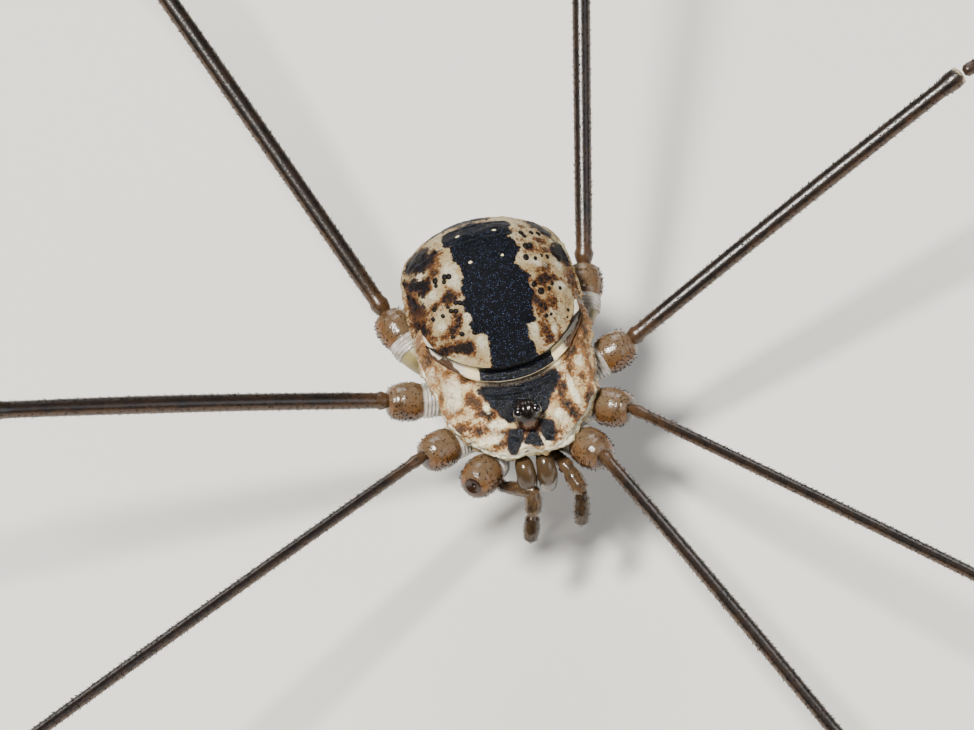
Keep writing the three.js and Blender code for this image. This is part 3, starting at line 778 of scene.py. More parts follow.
ahead = seen["ahead"]
plate = frayed(nodes, ahead, (seen["broad"], 0.9), (seen["ragged"], 0.35))
plate = paint(nodes, SILVER, PLATE_BROWN, plate, 0.19, 0.23)
plate = paint(nodes, plate, CREAM, seen["roll"], 0.42, 0.3)
colour = paint(nodes, colour, plate, ahead, PLATE_END, PLATE_END - 0.01)
band = add(nodes, "ShaderNodeMath", {0: ahead, 1: 0.405, 2: 0.068}, operation="COMPARE")
band = add(nodes, "ShaderNodeMath", {0: band, 1: seen["middle"]}, operation="MULTIPLY")
colour = paint(nodes, colour, paint(nodes, BAND_DARK, BAND_LIGHT, seen["fine"], -0.1, 0.12), band)
roll = frayed(nodes, seen["roll"], (seen["ragged"], 0.08))
inside, behind = [
    add(nodes, "ShaderNodeMapRange", {"Value": value, "From Min": bare, "From Max": full})
    for value, bare, full in ((roll, 0.012, -0.006), (ahead, PLATE_END, PLATE_END - 0.015))]
inked = add(nodes, "ShaderNodeMath", {0: inside, 1: behind}, operation="MULTIPLY")
colour = paint(nodes, colour, black, inked)
# Painted shade: the seam and the inner wall in the gap before the abdomen are painted umber.
colour = paint(nodes, colour, UMBER, ahead, 0.03, 0.012)
feed(shader, {"Base Color": colour, "Normal": grain_bump(nodes, seen, granules, 0.032),
              "Roughness": 0.27, "Specular IOR Level": 0.5, **WAXY})
piece_from(shield_bm, "shield_skin", shield_cuticle, ["cephalothorax"])

# %% [markdown]
# Legs, palps and jaws are tubes of changing width. A tube starts as one ring, which is extruded
# along its path and placed and scaled at every step. Each ring remembers how far along it is, and
# each of its points how near the upper side, so that a material can grade its colour from joint
# to joint and from back to belly.

# %% Tubes
FRAME_STEP = 0.004


def frame_on(path, t, upward):
    """The three directions at a place on a path: ahead, sideways and over."""
    ahead = (path(min(t + FRAME_STEP, 1)) - path(max(t - FRAME_STEP, 0))).normalized()
    sideways = ahead.cross(upward).normalized()
    return ahead, sideways, sideways.cross(ahead)


def tube(bm, path, width, steps, sides, upward=Vector((0, 0, 1))):
    """Adds a closed tube: path(t) is its middle and width(t) its radius, t from 0 to 1."""
    layer = bm.verts.layers.float.get("along") or bm.verts.layers.float.new("along")
    over_layer = bm.verts.layers.float.get("over") or bm.verts.layers.float.new("over")
    verts = bmesh.ops.create_circle(bm, cap_ends=False, segments=sides, radius=1)["verts"]
    edges = list({e for v in verts for e in v.link_edges})
    old = Matrix.Identity(4)
    for k, t in enumerate(steps):
        if k:
            made = bmesh.ops.extrude_edge_only(bm, edges=edges)["geom"]
            verts = [g for g in made if isinstance(g, bmesh.types.BMVert)]
            edges = [g for g in made if isinstance(g, bmesh.types.BMEdge)
                     and all(v in set(verts) for v in g.verts)]
        else:
            bmesh.ops.contextual_create(bm, geom=edges)
        ahead, sideways, over = frame_on(path, t, upward)
        r = width(t)
        new = Matrix((sideways * r, over * r, ahead * r)).transposed().to_4x4()
        new = Matrix.Translation(path(t)) @ new
        bmesh.ops.transform(bm, matrix=new @ old.inverted(), verts=verts)
        old = new
        for v in verts:
            v[layer] = t
            v[over_layer] = (v.co - path(t)).dot(over) / r
    bmesh.ops.contextual_create(bm, geom=edges)


def steps_of(count, ease=0.0):
    """Shares from 0 to 1, crowded towards both ends by ease."""
    shares = [k / count for k in range(count + 1)]
    return [(1 - ease) * s + ease * (0.5 - 0.5 * math.cos(math.pi * s)) for s in shares]


def eased(share):
    return share * share * (3 - 2 * share)


def profile(rows):
    """A smooth width along t from a few (t, radius) rows."""
    places, values = zip(*rows)

    def width(t):
        i = max(k for k in range(len(places) - 1) if places[k] <= t)
        s = eased(min(max((t - places[i]) / (places[i + 1] - places[i]), 0), 1))
        return values[i] * (1 - s) + values[i + 1] * s
    return width


def facing_out(bm):
    bmesh.ops.recalc_face_normals(bm, faces=bm.faces)
    return bm


print("a tube ring has its own frame at every step")

# %% [markdown]
# Every leg hangs on the body by a coxa and a ring joint, the trochanter. The sizes and angles here
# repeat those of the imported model, so every piece lies in its own solid.

# %% Sizes of the legs
SEAM = 0.03
HIP_HEIGHT = 5.0
# One value or one (x, y) for each pair of legs, from the front.
HIP = [(1.455, -2.545), (2.3, -1.5), (2.77, 0.14), (2.465, 2.34)]
COXA_ROOT = [(0.5, -1.52), (0.52, -0.92), (0.55, -0.26), (0.6, 0.46)]
COXA_BEND = [(1.0, -2.0), (1.4, -1.3), (1.65, 0.0), (2.05, 1.1)]
COXA_ROOT_HEIGHT, COXA_BEND_HEIGHT = 4.38, 4.68
RING_HALF = 0.45
FEMUR_LIFT = 0.12
FEMUR_LENGTH = (11.2, 17, 10.6, 14)
PATELLA_LENGTH = (1.5, 1.9, 1.6, 1.7)
TIBIA_LENGTH = (9, 13, 9, 11.5)
METATARSUS_LENGTH = (9, 12, 10.5, 14.5)
TARSUS_LENGTH = (13, 19, 14, 17)
TIBIA_DESCENT = (14, 18, 22, 25)
ANKLE_HEIGHT = 0.9
LEGS = [
    # side, pair, heading from +Y towards +X, rise, turn of the lower leg, sweep of the tarsus
    ("left", 1, 161.9, 8, -3, -24), ("left", 2, 143.4, 15, -6, -92), ("left", 3, 72.3, 20, 3, 24),
    ("left", 4, 15.1, 25, 7, 72), ("right", 2, -122.2, 14, -6, -62), ("right", 3, -88.5, 20, -1, -8),
    ("right", 4, -23.1, 25, -4, -55),
]
# The right front leg is lost beyond its ring joint.
LOST_LEG = ("right", 1, None, None, None, None)
print(len(LEGS), "whole legs and one lost")

# %% [markdown]
# From these sizes the joints follow: the femur rises from the ring joint to the knee, the patella
# lies nearly level, and tibia and metatarsus come down to the ankle. Each part's middle line is a
# curve between two joints, with a small gap to its neighbours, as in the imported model.

# %% Where the legs stand
COXA_SHARE, HIP_RISE = 0.7, 10


def on_side(side, xy, z):
    return Vector((xy[0] if side == "left" else -xy[0], xy[1], z))


def towards(heading, rise):
    a, r = math.radians(heading), math.radians(rise)
    return Vector((math.sin(a) * math.cos(r), math.cos(a) * math.cos(r), math.sin(r)))


def hip_direction(side, pair, heading):
    """Which way a ring joint points: mostly like its coxa, and partly like its femur."""
    bend = on_side(side, COXA_BEND[pair - 1], COXA_BEND_HEIGHT)
    out = (on_side(side, HIP[pair - 1], HIP_HEIGHT) - bend).normalized()
    return out if heading is None else (out * COXA_SHARE + towards(heading, HIP_RISE)).normalized()


def bezier(*points):
    def path(t):
        layer = list(points)
        while len(layer) > 1:
            layer = [a.lerp(b, t) for a, b in zip(layer, layer[1:])]
        return layer[0]
    return path


def straight(start, end):
    return lambda t: start.lerp(end, t)


def through(points):
    """A smooth path through all the points."""
    last = len(points) - 1

    def path(t):
        k = min(int(t * last), last - 1)
        return curve_between(points[max(k - 1, 0)], points[k], points[k + 1],
                             points[min(k + 2, last)], t * last - k)
    return path


def bowed(start, end, bow):
    ahead = (end - start).normalized()
    middle = (start + end) / 2 + Vector((0, 0, 2 * bow))
    return bezier(start + ahead * SEAM, middle, end - ahead * SEAM)


def leg_joints(side, pair, heading, rise, turn, sweep):
    row = pair - 1
    base = on_side(side, HIP[row], HIP_HEIGHT) + hip_direction(side, pair, heading) * (RING_HALF + SEAM)
    base.z += FEMUR_LIFT
    knee = base + towards(heading, rise) * FEMUR_LENGTH[row]
    below = knee + towards(heading + turn / 2, -2) * PATELLA_LENGTH[row]
    shin_end = below + towards(heading + turn, -TIBIA_DESCENT[row]) * TIBIA_LENGTH[row]
    fall = math.degrees(math.asin((shin_end.z - ANKLE_HEIGHT) / METATARSUS_LENGTH[row]))
    ankle = shin_end + towards(heading + 2 * turn, -fall) * METATARSUS_LENGTH[row]
    return base, knee, below, shin_end, ankle


for leg in LEGS:
    print(leg[0], leg[1], "knee at", [round(c, 1) for c in leg_joints(*leg)[1]])

# %% [markdown]
# Chitin is what hardens the cuticle of the legs. It is dark brown and satiny, lighter at the hip,
# with a pale tip at the knee. It is lighter along the sides too: partly a pale lengthwise stripe,
# partly painted light that shines through the thin cuticle at the edges. A clear highlight runs
# along it; lengthwise streaks and small blots keep it from looking like plastic. Its index of
# refraction is 1.54.

# %% Chitin of the legs
CHITIN_IOR = 1.54
SPECK_DEPTH = 0.012 * MM


def leg_chitin(name, base, main, dark, side, tip, base_end, tip_start):
    base, main, dark, side, tip = [linear(code) for code in (base, main, dark, side, tip)]
    material, nodes, shader = start_material(name)
    place = add(nodes, "ShaderNodeTexCoord").outputs["Object"]
    cloud = add(nodes, "ShaderNodeTexNoise", {"Vector": place, "Scale": 2.5 * PER_MM, "Detail": 4})
    specks = add(nodes, "ShaderNodeTexNoise", {"Vector": place, "Scale": 14 * PER_MM, "Detail": 2})
    over = add(nodes, "ShaderNodeAttribute", attribute_name="over").outputs["Fac"]
    along = add(nodes, "ShaderNodeAttribute", attribute_name="along").outputs["Fac"]
    side_stripe_and_glow = frayed(nodes, over, (cloud, 0.6), (specks, 0.5))
    colour = paint(nodes, main, dark, cloud, 0.38, 0.62)
    # Lighter sides: partly a pale stripe, partly painted light shining through the thin cuticle at the
    # edges.
    colour = paint(nodes, colour, side, side_stripe_and_glow, 1.25, 0.85)
    colour = paint(nodes, colour, main, side_stripe_and_glow, 0.5, 0.1)
    along = frayed(nodes, along, (cloud, 0.1))
    colour = paint(nodes, colour, base, along, base_end, 0.06)
    colour = paint(nodes, colour, tip, along, tip_start + 0.05, tip_start + 0.065)
    colour = paint(nodes, colour, dark, specks, 0.6, 0.66)
    bump = add(nodes, "ShaderNodeBump", {"Height": specks, "Strength": 0.5, "Distance": SPECK_DEPTH})
    feed(shader, {"Base Color": colour, "Normal": bump, "Roughness": 0.32, "IOR": CHITIN_IOR})
    return material


femur_chitin, shin_chitin, foot_chitin = [leg_chitin(*finish) for finish in (
    # name, colours at the hip end, over most of it, in blots, along the sides and at the knee end;
    # the side colour is partly painted light shining through the thin edges
    ("femur_chitin", "#422D19", "#20150C", "#110A06", "#402914", "#C9B79A", 0.16, 0.985),
    ("shin_chitin", "#2C1B11", "#2F1F14", "#180F09", "#4A311C", "#B79E7C", 0.12, 0.965),
    ("foot_chitin", "#57412F", "#4A3727", "#2D2016", "#5A4330", "#6C5844", 0.1, 0.97),
)]
print("three leg finishes")

# %% [markdown]
# Spines are tiny black cones, a tenth of a millimetre long, that lean towards the foot. Hundreds
# of them are joined into one piece per segment. Each keeps a small patch on the piece's own map,
# at the place where it grows, so that its colour can be baked. Black chitin is the same stuff as
# the legs' with more pigment; it is matt, so a tiny cone has no bright rim.

# %% Spines
PATCH, MAP_SHARE = 0.003, 0.99
CORNERS = ((0, 0), (1, 0), (1, 1), (0, 1), (0.5, 0.5))
SPINE_SIDES, SPINE_TAPER, SPINE_SUNK, SPINE_LEAN = 5, 0.12, 0.01, 1.3


def lay_patch(uv, verts, spot):
    """Gives the faces of one small shape their own tiny patch of the map."""
    for face in {f for v in verts for f in v.link_faces}:
        for loop, corner in zip(face.loops, CORNERS):
            loop[uv].uv = (spot[0] + PATCH * corner[0], spot[1] + PATCH * corner[1])


def spine(bm, uv, root, normal, lean, length, radius, spot):
    axis = (normal + lean).normalized()
    turn = axis.to_track_quat("Z", "Y").to_matrix().to_4x4()
    centre = Matrix.Translation(root + axis * (length / 2 - SPINE_SUNK))
    verts = bmesh.ops.create_cone(bm, cap_ends=True, segments=SPINE_SIDES, radius1=radius,
                                  radius2=radius * SPINE_TAPER, depth=length, matrix=centre @ turn)["verts"]
    lay_patch(uv, verts, spot)


def spines_on_tube(name, path, width, rows, spacing, length, radius, seed, start=0.02, end=0.98):
    """Rows of spines along a tube; rows are angles from its upper side in degrees."""
    rng = random.Random(seed)
    bm = bmesh.new()
    uv = bm.loops.layers.uv.new("OFBake")
    whole = sum((path((k + 1) / 20) - path(k / 20)).length for k in range(20))
    count = int(whole * (end - start) / spacing)
    for row in rows:
        for k in range(count):
            t = start + (end - start) * (k + rng.uniform(0.1, 0.9)) / count
            ahead, sideways, over = frame_on(path, t, Vector((0, 0, 1)))
            a = math.radians(row + rng.uniform(-7, 7))
            normal = over * math.cos(a) + sideways * math.sin(a)
            root = path(t) + normal * width(t)
            size = rng.uniform(0.75, 1.1)
            spot = ((a / math.tau) % 1 * MAP_SHARE, t * MAP_SHARE)
            spine(bm, uv, root, normal, ahead * SPINE_LEAN, length * size, radius * size, spot)
    return piece_from(bm, name, black_chitin)


black_chitin, nodes, shader = start_material("black_chitin")
place = add(nodes, "ShaderNodeTexCoord").outputs["Object"]
cloud = add(nodes, "ShaderNodeTexNoise", {"Vector": place, "Scale": 6 * PER_MM})
colour = paint(nodes, linear("#070504"), linear("#140C08"), cloud, 0.4, 0.6)
feed(shader, {"Base Color": colour, "Roughness": 0.5, "Specular IOR Level": 0.15})
print("a spine has", SPINE_SIDES, "sides")

# %% [markdown]
# Beyond the hip each leg has five parts. Femur, patella, tibia and metatarsus swell a little at
# both ends, where they hinge. The tarsus is a string of 34 tiny beads that curls along the floor
# and ends in a claw. In the photograph some femora look stouter than others, so the widths are
# scaled pair by pair.

# %% Shapes beyond the hip
FEMUR_START = 0.17
FEMUR_WIDTH = profile([(0, 0.1), (0.012, 0.165), (0.022, 0.205), (0.034, 0.165), (0.12, 0.175),
                       (0.6, 0.185), (0.93, 0.175), (0.975, 0.215), (0.995, 0.2), (1, 0.1)])
PATELLA_WIDTH = profile([(0, 0.1), (0.05, 0.165), (0.3, 0.175), (0.75, 0.205), (0.94, 0.19), (1, 0.1)])
TIBIA_WIDTH = profile([(0, 0.09), (0.015, 0.14), (0.08, 0.135), (0.6, 0.13), (0.94, 0.125),
                       (0.98, 0.15), (1, 0.08)])
SHANK_WIDTH = profile([(0, 0.08), (0.015, 0.115), (0.08, 0.1), (0.6, 0.088), (0.96, 0.08),
                       (0.985, 0.1), (1, 0.05)])
TARSUS_WIDTH = profile([(0, 0.05), (0.01, 0.075), (0.3, 0.068), (0.95, 0.045), (1, 0.02)])
CLAW_WIDTH = profile([(0, 0.03), (1, 0.004)])
BEADS, BEAD_DEPTH, BEAD_MEAN = 34, 0.16, 0.6
TARSUS_STEPS, TOUCHDOWN_STEPS, TARSUS_HEIGHT, TARSUS_DROP = 12, 3, 0.07, -20
STOUTNESS = (0.98, 0.84, 1.22, 1.26)


def tarsus_path(pair, heading, turn, sweep, ankle):
    """From the ankle down to the floor in the first quarter, then along it with a sweep."""
    length, start = TARSUS_LENGTH[pair - 1], heading + 2 * turn
    points = [ankle + towards(start, TARSUS_DROP) * SEAM]
    place = points[0].copy()
    for i in range(TARSUS_STEPS):
        place = place + towards(start + sweep * (i + 0.5) / TARSUS_STEPS, 0) * (length / TARSUS_STEPS)
        down = eased(min((i + 1) / TOUCHDOWN_STEPS, 1))
        points.append(Vector((place.x, place.y, points[0].z * (1 - down) + TARSUS_HEIGHT * down)))
    return through(points)


def beaded_width(t):
    return TARSUS_WIDTH(t) * (1 + BEAD_DEPTH * (abs(math.sin(math.pi * BEADS * t)) - BEAD_MEAN))


def scaled(width, factor):
    return lambda t: width(t) * factor


print("tarsi of", BEADS, "beads")

# %% [markdown]
# One loop builds all seven legs. Every part keeps its own piece, because each stands for a solid of
# its own. The spines stand in ten rows round femur and patella and in eight round the tibia; the
# thin last parts have none that would show at this size.

# %% Legs beyond the hip
SPINE_ROWS = (-150, -110, -75, -45, -15, 15, 45, 75, 110, 150)

for number, (side, pair, heading, rise, turn, sweep) in enumerate(LEGS):
    base, knee, below, shin_end, ankle = leg_joints(side, pair, heading, rise, turn, sweep)
    label = f"{side}_{pair}"
    femur = bowed(base - (knee - base).normalized() * FEMUR_START, knee, 0.1)
    femur_width = scaled(FEMUR_WIDTH, STOUTNESS[pair - 1])
    patella, tibia = bowed(knee, below, 0.05), bowed(below, shin_end, 0.1)
    for kind, path, width, count, sides, material in (
            ("femur", femur, femur_width, 56, 20, femur_chitin),
            ("patella", patella, PATELLA_WIDTH, 20, 20, shin_chitin),
            ("tibia", tibia, TIBIA_WIDTH, 48, 16, shin_chitin),
            ("metatarsus", bowed(shin_end, ankle, 0.15), SHANK_WIDTH, 48, 14, shin_chitin)):
        bm = bmesh.new()
        tube(bm, path, width, steps_of(count, 0.8), sides)
        piece_from(facing_out(bm), f"{kind}_shell_{label}", material, [f"{kind}_{label}"])

    path = tarsus_path(pair, heading, turn, sweep, ankle)
    bm = bmesh.new()
    tube(bm, path, beaded_width, steps_of(BEADS * 5), 10)
    tip, ahead = path(1), (path(1) - path(0.99)).normalized()
    claw = bezier(tip, tip + ahead * 0.1 + Vector((0, 0, 0.02)), tip + ahead * 0.15 - Vector((0, 0, 0.04)))
    tube(bm, claw, CLAW_WIDTH, steps_of(6), 6)
    piece_from(facing_out(bm), f"tarsus_shell_{label}", foot_chitin, [f"tarsus_{label}"])

    spines_on_tube(f"femur_spines_{label}", femur, femur_width, SPINE_ROWS, 0.2, 0.085, 0.014,
                   number, 0.035)
    spines_on_tube(f"patella_spines_{label}", patella, PATELLA_WIDTH, SPINE_ROWS, 0.17, 0.08, 0.013,
                   20 + number, 0.1, 0.95)
    spines_on_tube(f"tibia_spines_{label}", tibia, TIBIA_WIDTH, SPINE_ROWS[1:-1], 0.3, 0.06, 0.01,
                   40 + number)

# %% [markdown]
# Soft-looking parts near the body are clear cuticle: thin chitin without much pigment over pale
# flesh, so it is glossy and light passes into it. The coxae are pale olive, the skin at the
# joints silvery, the palps and jaws brown and darkened with painted shade, and the ring joints
# amber.

# %% Clear cuticle
def clear_cuticle(name, light, dark, roughness, weight, per_mm=1.2):
    light, dark = linear(light), linear(dark)
    material, nodes, shader = start_material(name)
    place = add(nodes, "ShaderNodeTexCoord").outputs["Object"]
    cloud = add(nodes, "ShaderNodeTexNoise", {"Vector": place, "Scale": per_mm * PER_MM, "Detail": 3})
    specks = add(nodes, "ShaderNodeTexNoise", {"Vector": place, "Scale": 14 * PER_MM, "Detail": 2})
    colour = paint(nodes, light, dark, cloud, 0.35, 0.65)
    colour = paint(nodes, colour, dark, specks, 0.64, 0.72)
    bump = add(nodes, "ShaderNodeBump", {"Height": specks, "Strength": 0.5, "Distance": SPECK_DEPTH})
    feed(shader, {"Base Color": colour, "Normal": bump, "Roughness": roughness, "IOR": CHITIN_IOR,
                  "Subsurface Weight": weight, "Subsurface Radius": (1.0, 0.55, 0.25),
                  "Subsurface Scale": 0.25 * MM})
    return material


coxa_cuticle = clear_cuticle("clear_cuticle_olive", "#8E8256", "#5C5134", 0.28, 0.35)
skin_folds = clear_cuticle("joint_membrane_silver", "#C4C0BA", "#857E72", 0.12, 0.2, 3)
# The jaws' and palps' browns are darkened with painted shade.
jaw_cuticle_painted_shade = clear_cuticle("clear_cuticle_warm_grey_painted_shade", "#4E3D28", "#2E2113", 0.2, 0.25)
palp_cuticle_painted_shade = clear_cuticle("clear_cuticle_grey_brown_painted_shade", "#5A4630", "#33261A", 0.16, 0.3, 5)
palp_tip_cuticle_painted_shade = clear_cuticle("clear_cuticle_dark_brown_painted_shade", "#3A2A19", "#1C130B", 0.2, 0.2, 4)
print("five clear finishes")

# %% [markdown]
# The ring joints' cuticle is thicker and more tanned, so it is amber, clouded and speckled with
# brown, and glossy enough for a sharp highlight. A painted sheen makes it greyish on top, and
# painted shade makes it darker underneath. It has more layers than the clear cuticle above, so it
# is written out by itself.

# %% Amber cuticle of the ring joints
ring_cuticle, nodes, shader = start_material("clear_cuticle_amber")
place = add(nodes, "ShaderNodeTexCoord").outputs["Object"]
cloud = add(nodes, "ShaderNodeTexNoise", {"Vector": place, "Scale": 3 * PER_MM, "Detail": 4})
specks = add(nodes, "ShaderNodeTexNoise", {"Vector": place, "Scale": 16 * PER_MM, "Detail": 2})
over = add(nodes, "ShaderNodeAttribute", attribute_name="over").outputs["Fac"]
along = add(nodes, "ShaderNodeAttribute", attribute_name="along").outputs["Fac"]
sheen_and_shade_measure = frayed(nodes, over, (cloud, 1.2))
# Painted light: a greyish painted sheen on top, and darker painted shade underneath.
colour = paint(nodes, linear("#64401B"), linear("#5E4C38"), sheen_and_shade_measure, 0.9, 1.5)
colour = paint(nodes, colour, linear("#432A11"), sheen_and_shade_measure, 0.75, 0.2)
colour = paint(nodes, colour, linear("#46301C"), cloud, 0.54, 0.7)
colour = paint(nodes, colour, linear("#21140A"), specks, 0.6, 0.66)
# The outer end face is a dark scar.
short_of_end = add(nodes, "ShaderNodeMath", {0: along, 1: 0.49, 2: 0.497}, operation="COMPARE")
colour = paint(nodes, linear("#2A180D"), colour, short_of_end)
bump = add(nodes, "ShaderNodeBump", {
    "Height": frayed(nodes, specks, (cloud, 1.0)), "Strength": 0.6, "Distance": 0.02 * MM})
feed(shader, {"Base Color": colour, "Normal": bump, "Roughness": 0.2, "IOR": CHITIN_IOR,
              "Subsurface Weight": 0.12, "Subsurface Radius": (0.9, 0.6, 0.35),
              "Subsurface Scale": 0.15 * MM})
print("amber for the ring joints")

# %% [markdown]
# Each leg hangs on the body by a short thick coxa and a ring joint, the trochanter. A collar of
# soft skin with fine folds joins the two. The ring joint is a bulb with small black teeth at its
# sides. Where the right front leg is lost, the ring's open end has closed in rings round a scar,
# made by insetting the end face again and again.

# %% Coxae, joint skin and ring joints
RING_PROFILE = profile([(0, 0.39), (0.04, 0.45), (0.22, 0.488), (0.5, 0.488), (0.72, 0.45), (0.88, 0.39),
                        (0.96, 0.31), (1, 0.2)])
SKIN_BEHIND, SKIN_BEYOND = 0.34, 0.09
FOLDS = 4.5
TOOTH_ROWS = (-170, -125, -98, -82, -66, 66, 82, 98, 125, 170)
# Insets of the scar: how far in, and how far out of the face.
SCAR = ((0.03, 0.02), (0.02, -0.06), (0.03, 0.03), (0.02, -0.06), (0.03, 0.02), (0.02, -0.1))


def coxa_width(t):
    return (0.22 + 0.2 * math.sin(t * math.pi / 2)) * min(1, 0.9 + 3 * (1 - t))


def folded_width(t):
    return 0.425 + 0.02 * math.sin(math.pi * t) + 0.016 * math.sin(t * math.tau * FOLDS)


for number, (side, pair, heading, rise, turn, sweep) in enumerate([*LEGS, LOST_LEG]):
    label, row = f"{side}_{pair}", pair - 1
    hip = on_side(side, HIP[row], HIP_HEIGHT)
    out = hip_direction(side, pair, heading)
    end = hip - out * (RING_HALF + SEAM)
    coxa = bezier(on_side(side, COXA_ROOT[row], COXA_ROOT_HEIGHT),
                  on_side(side, COXA_BEND[row], COXA_BEND_HEIGHT), end - out * 0.35, end)
    bm = bmesh.new()
    tube(bm, coxa, coxa_width, steps_of(28), 28)
    piece_from(facing_out(bm), f"coxa_shell_{label}", coxa_cuticle, [f"coxa_{label}"])

    bm = bmesh.new()
    tube(bm, straight(end - out * SKIN_BEHIND, end + out * SKIN_BEYOND), folded_width, steps_of(80), 44)
    piece_from(facing_out(bm), f"joint_skin_{label}", skin_folds)

    bm = bmesh.new()
    ring = straight(hip - out * RING_HALF, hip + out * RING_HALF)
    tube(bm, ring, RING_PROFILE, steps_of(36, 0.5), 40)
    if heading is None:
        mouth = [f for f in bm.faces if len(f.verts) > 4 and f.calc_center_median().y < hip.y]
        for thickness, depth in SCAR:
            bmesh.ops.inset_region(bm, faces=mouth, thickness=thickness, depth=depth)
    piece_from(facing_out(bm), f"ring_shell_{label}", ring_cuticle,
               [f"trochanter_{label}"])
    spines_on_tube(f"ring_teeth_{label}", ring, RING_PROFILE, TOOTH_ROWS, 0.075, 0.07, 0.017,
                   60 + number, 0.12, 0.9)

# %% [markdown]
# The eye mound is a smooth dark dome of glossy chitin with a shallow groove along its top. Its
# front is reddish, where the pigment thins out. It is a sphere that is stretched upwards and
# then pressed in along the middle by a narrow bell curve.

# %% Eye mound
MOUND_SIZE = Vector((0.33, 0.36, 0.5))
GROOVE_HALF, GROOVE_DEPTH = 0.07, 0.045

mound_chitin, nodes, shader = start_material("dark_glossy_chitin")
place = add(nodes, "ShaderNodeTexCoord").outputs["Object"]
cloud = add(nodes, "ShaderNodeTexNoise", {"Vector": place, "Scale": 5 * PER_MM, "Detail": 3})
front = frayed(nodes, add(nodes, "ShaderNodeAttribute", attribute_name="front").outputs["Fac"], (cloud, 0.3))
colour = paint(nodes, linear("#0B0604"), linear("#1A0F08"), cloud, 0.35, 0.65)
colour = paint(nodes, colour, linear("#4A2B12"), front, 0.8, 0.95)
bump = add(nodes, "ShaderNodeBump", {"Height": cloud, "Strength": 0.3, "Distance": 0.02 * MM})
feed(shader, {"Base Color": colour, "Normal": bump, "Roughness": 0.22})

bm = bmesh.new()
bmesh.ops.create_uvsphere(bm, u_segments=64, v_segments=48, radius=1)
front_layer = bm.verts.layers.float.new("front")
for v in bm.verts:
    unit = v.co.copy()
    v.co = Vector((unit.x * MOUND_SIZE.x, unit.y * MOUND_SIZE.y, unit.z * MOUND_SIZE.z))
    v.co.z -= GROOVE_DEPTH * math.exp(-(v.co.x / GROOVE_HALF) ** 2) * max(unit.z, 0)
    v[front_layer] = max(-unit.y, 0) * (1 - max(unit.z, 0) * 0.6)
    v.co += MOUND_AT
piece_from(facing_out(bm), "eye_mound", mound_chitin, ["ocularium"])

# %% [markdown]
# The two eyes sit high at the mound's sides. A lens is clear chitin over black pigment, as smooth as
# if it were polished: nearly no roughness, and a clear coat that gives the sharp glint. A plain
# ball sunk in the mound is enough, because only its cap shows.

# %% Eyes
EYE_RADIUS, EYE_OFFSET = 0.15, Vector((0.22, -0.06, 0.26))

eye_lens, nodes, shader = start_material("polished_eye_lens")
place = add(nodes, "ShaderNodeTexCoord").outputs["Object"]
cloud = add(nodes, "ShaderNodeTexNoise", {"Vector": place, "Scale": 8 * PER_MM})
colour = paint(nodes, linear("#050404"), linear("#120C0A"), cloud)
feed(shader, {"Base Color": colour, "Roughness": 0.05, "Coat Weight": 1.0})
for side, sign in (("left", 1), ("right", -1)):
    bm = bmesh.new()
    bmesh.ops.create_uvsphere(bm, u_segments=40, v_segments=28, radius=EYE_RADIUS)
    centre = MOUND_AT + Vector((sign * EYE_OFFSET.x, EYE_OFFSET.y, EYE_OFFSET.z))
    bmesh.ops.translate(bm, verts=bm.verts, vec=centre)
    piece_from(facing_out(bm), f"eye_ball_{side}", eye_lens, [f"eye_{side}"])

# %% [markdown]
# The jaws hang under the shield's front, each one lobed tube that bends down, with a pincer of two
# black fingers below. They stand a little to the animal's right of the middle, as in the
# photograph.

# %% Jaws
SIDEWAYS = Vector((1, 0, 0))
JAW_APART, JAW_SHIFT = 0.262, -0.05
JAW_LINE = ((-2.2, 4.86), (-2.52, 4.94), (-2.72, 4.7), (-2.7, 4.3), (-2.58, 3.98), (-2.48, 3.72))
JAW_WIDTH = profile([(0, 0.17), (0.2, 0.24), (0.42, 0.262), (0.56, 0.24), (0.66, 0.235), (0.86, 0.18),
                     (1, 0.09)])
FINGER_WIDTH = profile([(0, 0.06), (0.7, 0.035), (1, 0.006)])
FINGER_SHIFT = 0.06

for side, sign in (("left", 1), ("right", -1)):
    x = sign * JAW_APART + JAW_SHIFT
    bm = bmesh.new()
    tube(bm, through([Vector((x, *place)) for place in JAW_LINE]), JAW_WIDTH, steps_of(48), 28, SIDEWAYS)
    piece_from(facing_out(bm), f"jaw_shell_{side}", jaw_cuticle_painted_shade, [f"chelicera_{side}"])
    bm = bmesh.new()
    for shift in (-FINGER_SHIFT, FINGER_SHIFT):
        root = Vector((x + shift * 0.9, -2.5, 3.78))
        finger = bezier(root, root + Vector((shift * 1.6, 0.02, -0.12)),
                        root + Vector((-shift * 0.7, 0.08, -0.26)))
        tube(bm, finger, FINGER_WIDTH, steps_of(10), 12, SIDEWAYS)
    piece_from(facing_out(bm), f"jaw_pincer_{side}", black_chitin)

# %% [markdown]
# A palp is a short feeler with a row of bead-like parts. The left one reaches forward and down, the
# right one is folded across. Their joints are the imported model's. The last part is darker, as in
# the photograph, and ends in a small claw.

# %% Palps
PALP_JOINTS = {
    "left": [(0.4, -1.8, 4.6), (0.56, -2.15, 4.52), (0.76, -2.64, 4.6), (0.95, -3.26, 4.36),
             (0.77, -3.74, 3.55)],
    "right": [(-1.03, -2.27, 4.25), (-0.9, -2.54, 4.3), (-0.22, -2.98, 4.48), (-0.36, -3.34, 4.02),
              (-0.56, -3.75, 3.38)],
}
PALP_WIDTHS = [profile(rows) for rows in (
    [(0, 0.12), (0.5, 0.15), (1, 0.15)],
    [(0, 0.14), (0.3, 0.17), (0.8, 0.205), (1, 0.16)],
    [(0, 0.15), (0.4, 0.22), (0.8, 0.215), (1, 0.14)],
    [(0, 0.13), (0.2, 0.19), (0.6, 0.21), (0.88, 0.17), (1, 0.07)],
)]
PALP_CLAW_WIDTH = profile([(0, 0.03), (1, 0.005)])
PALP_OVERLAP = 0.05

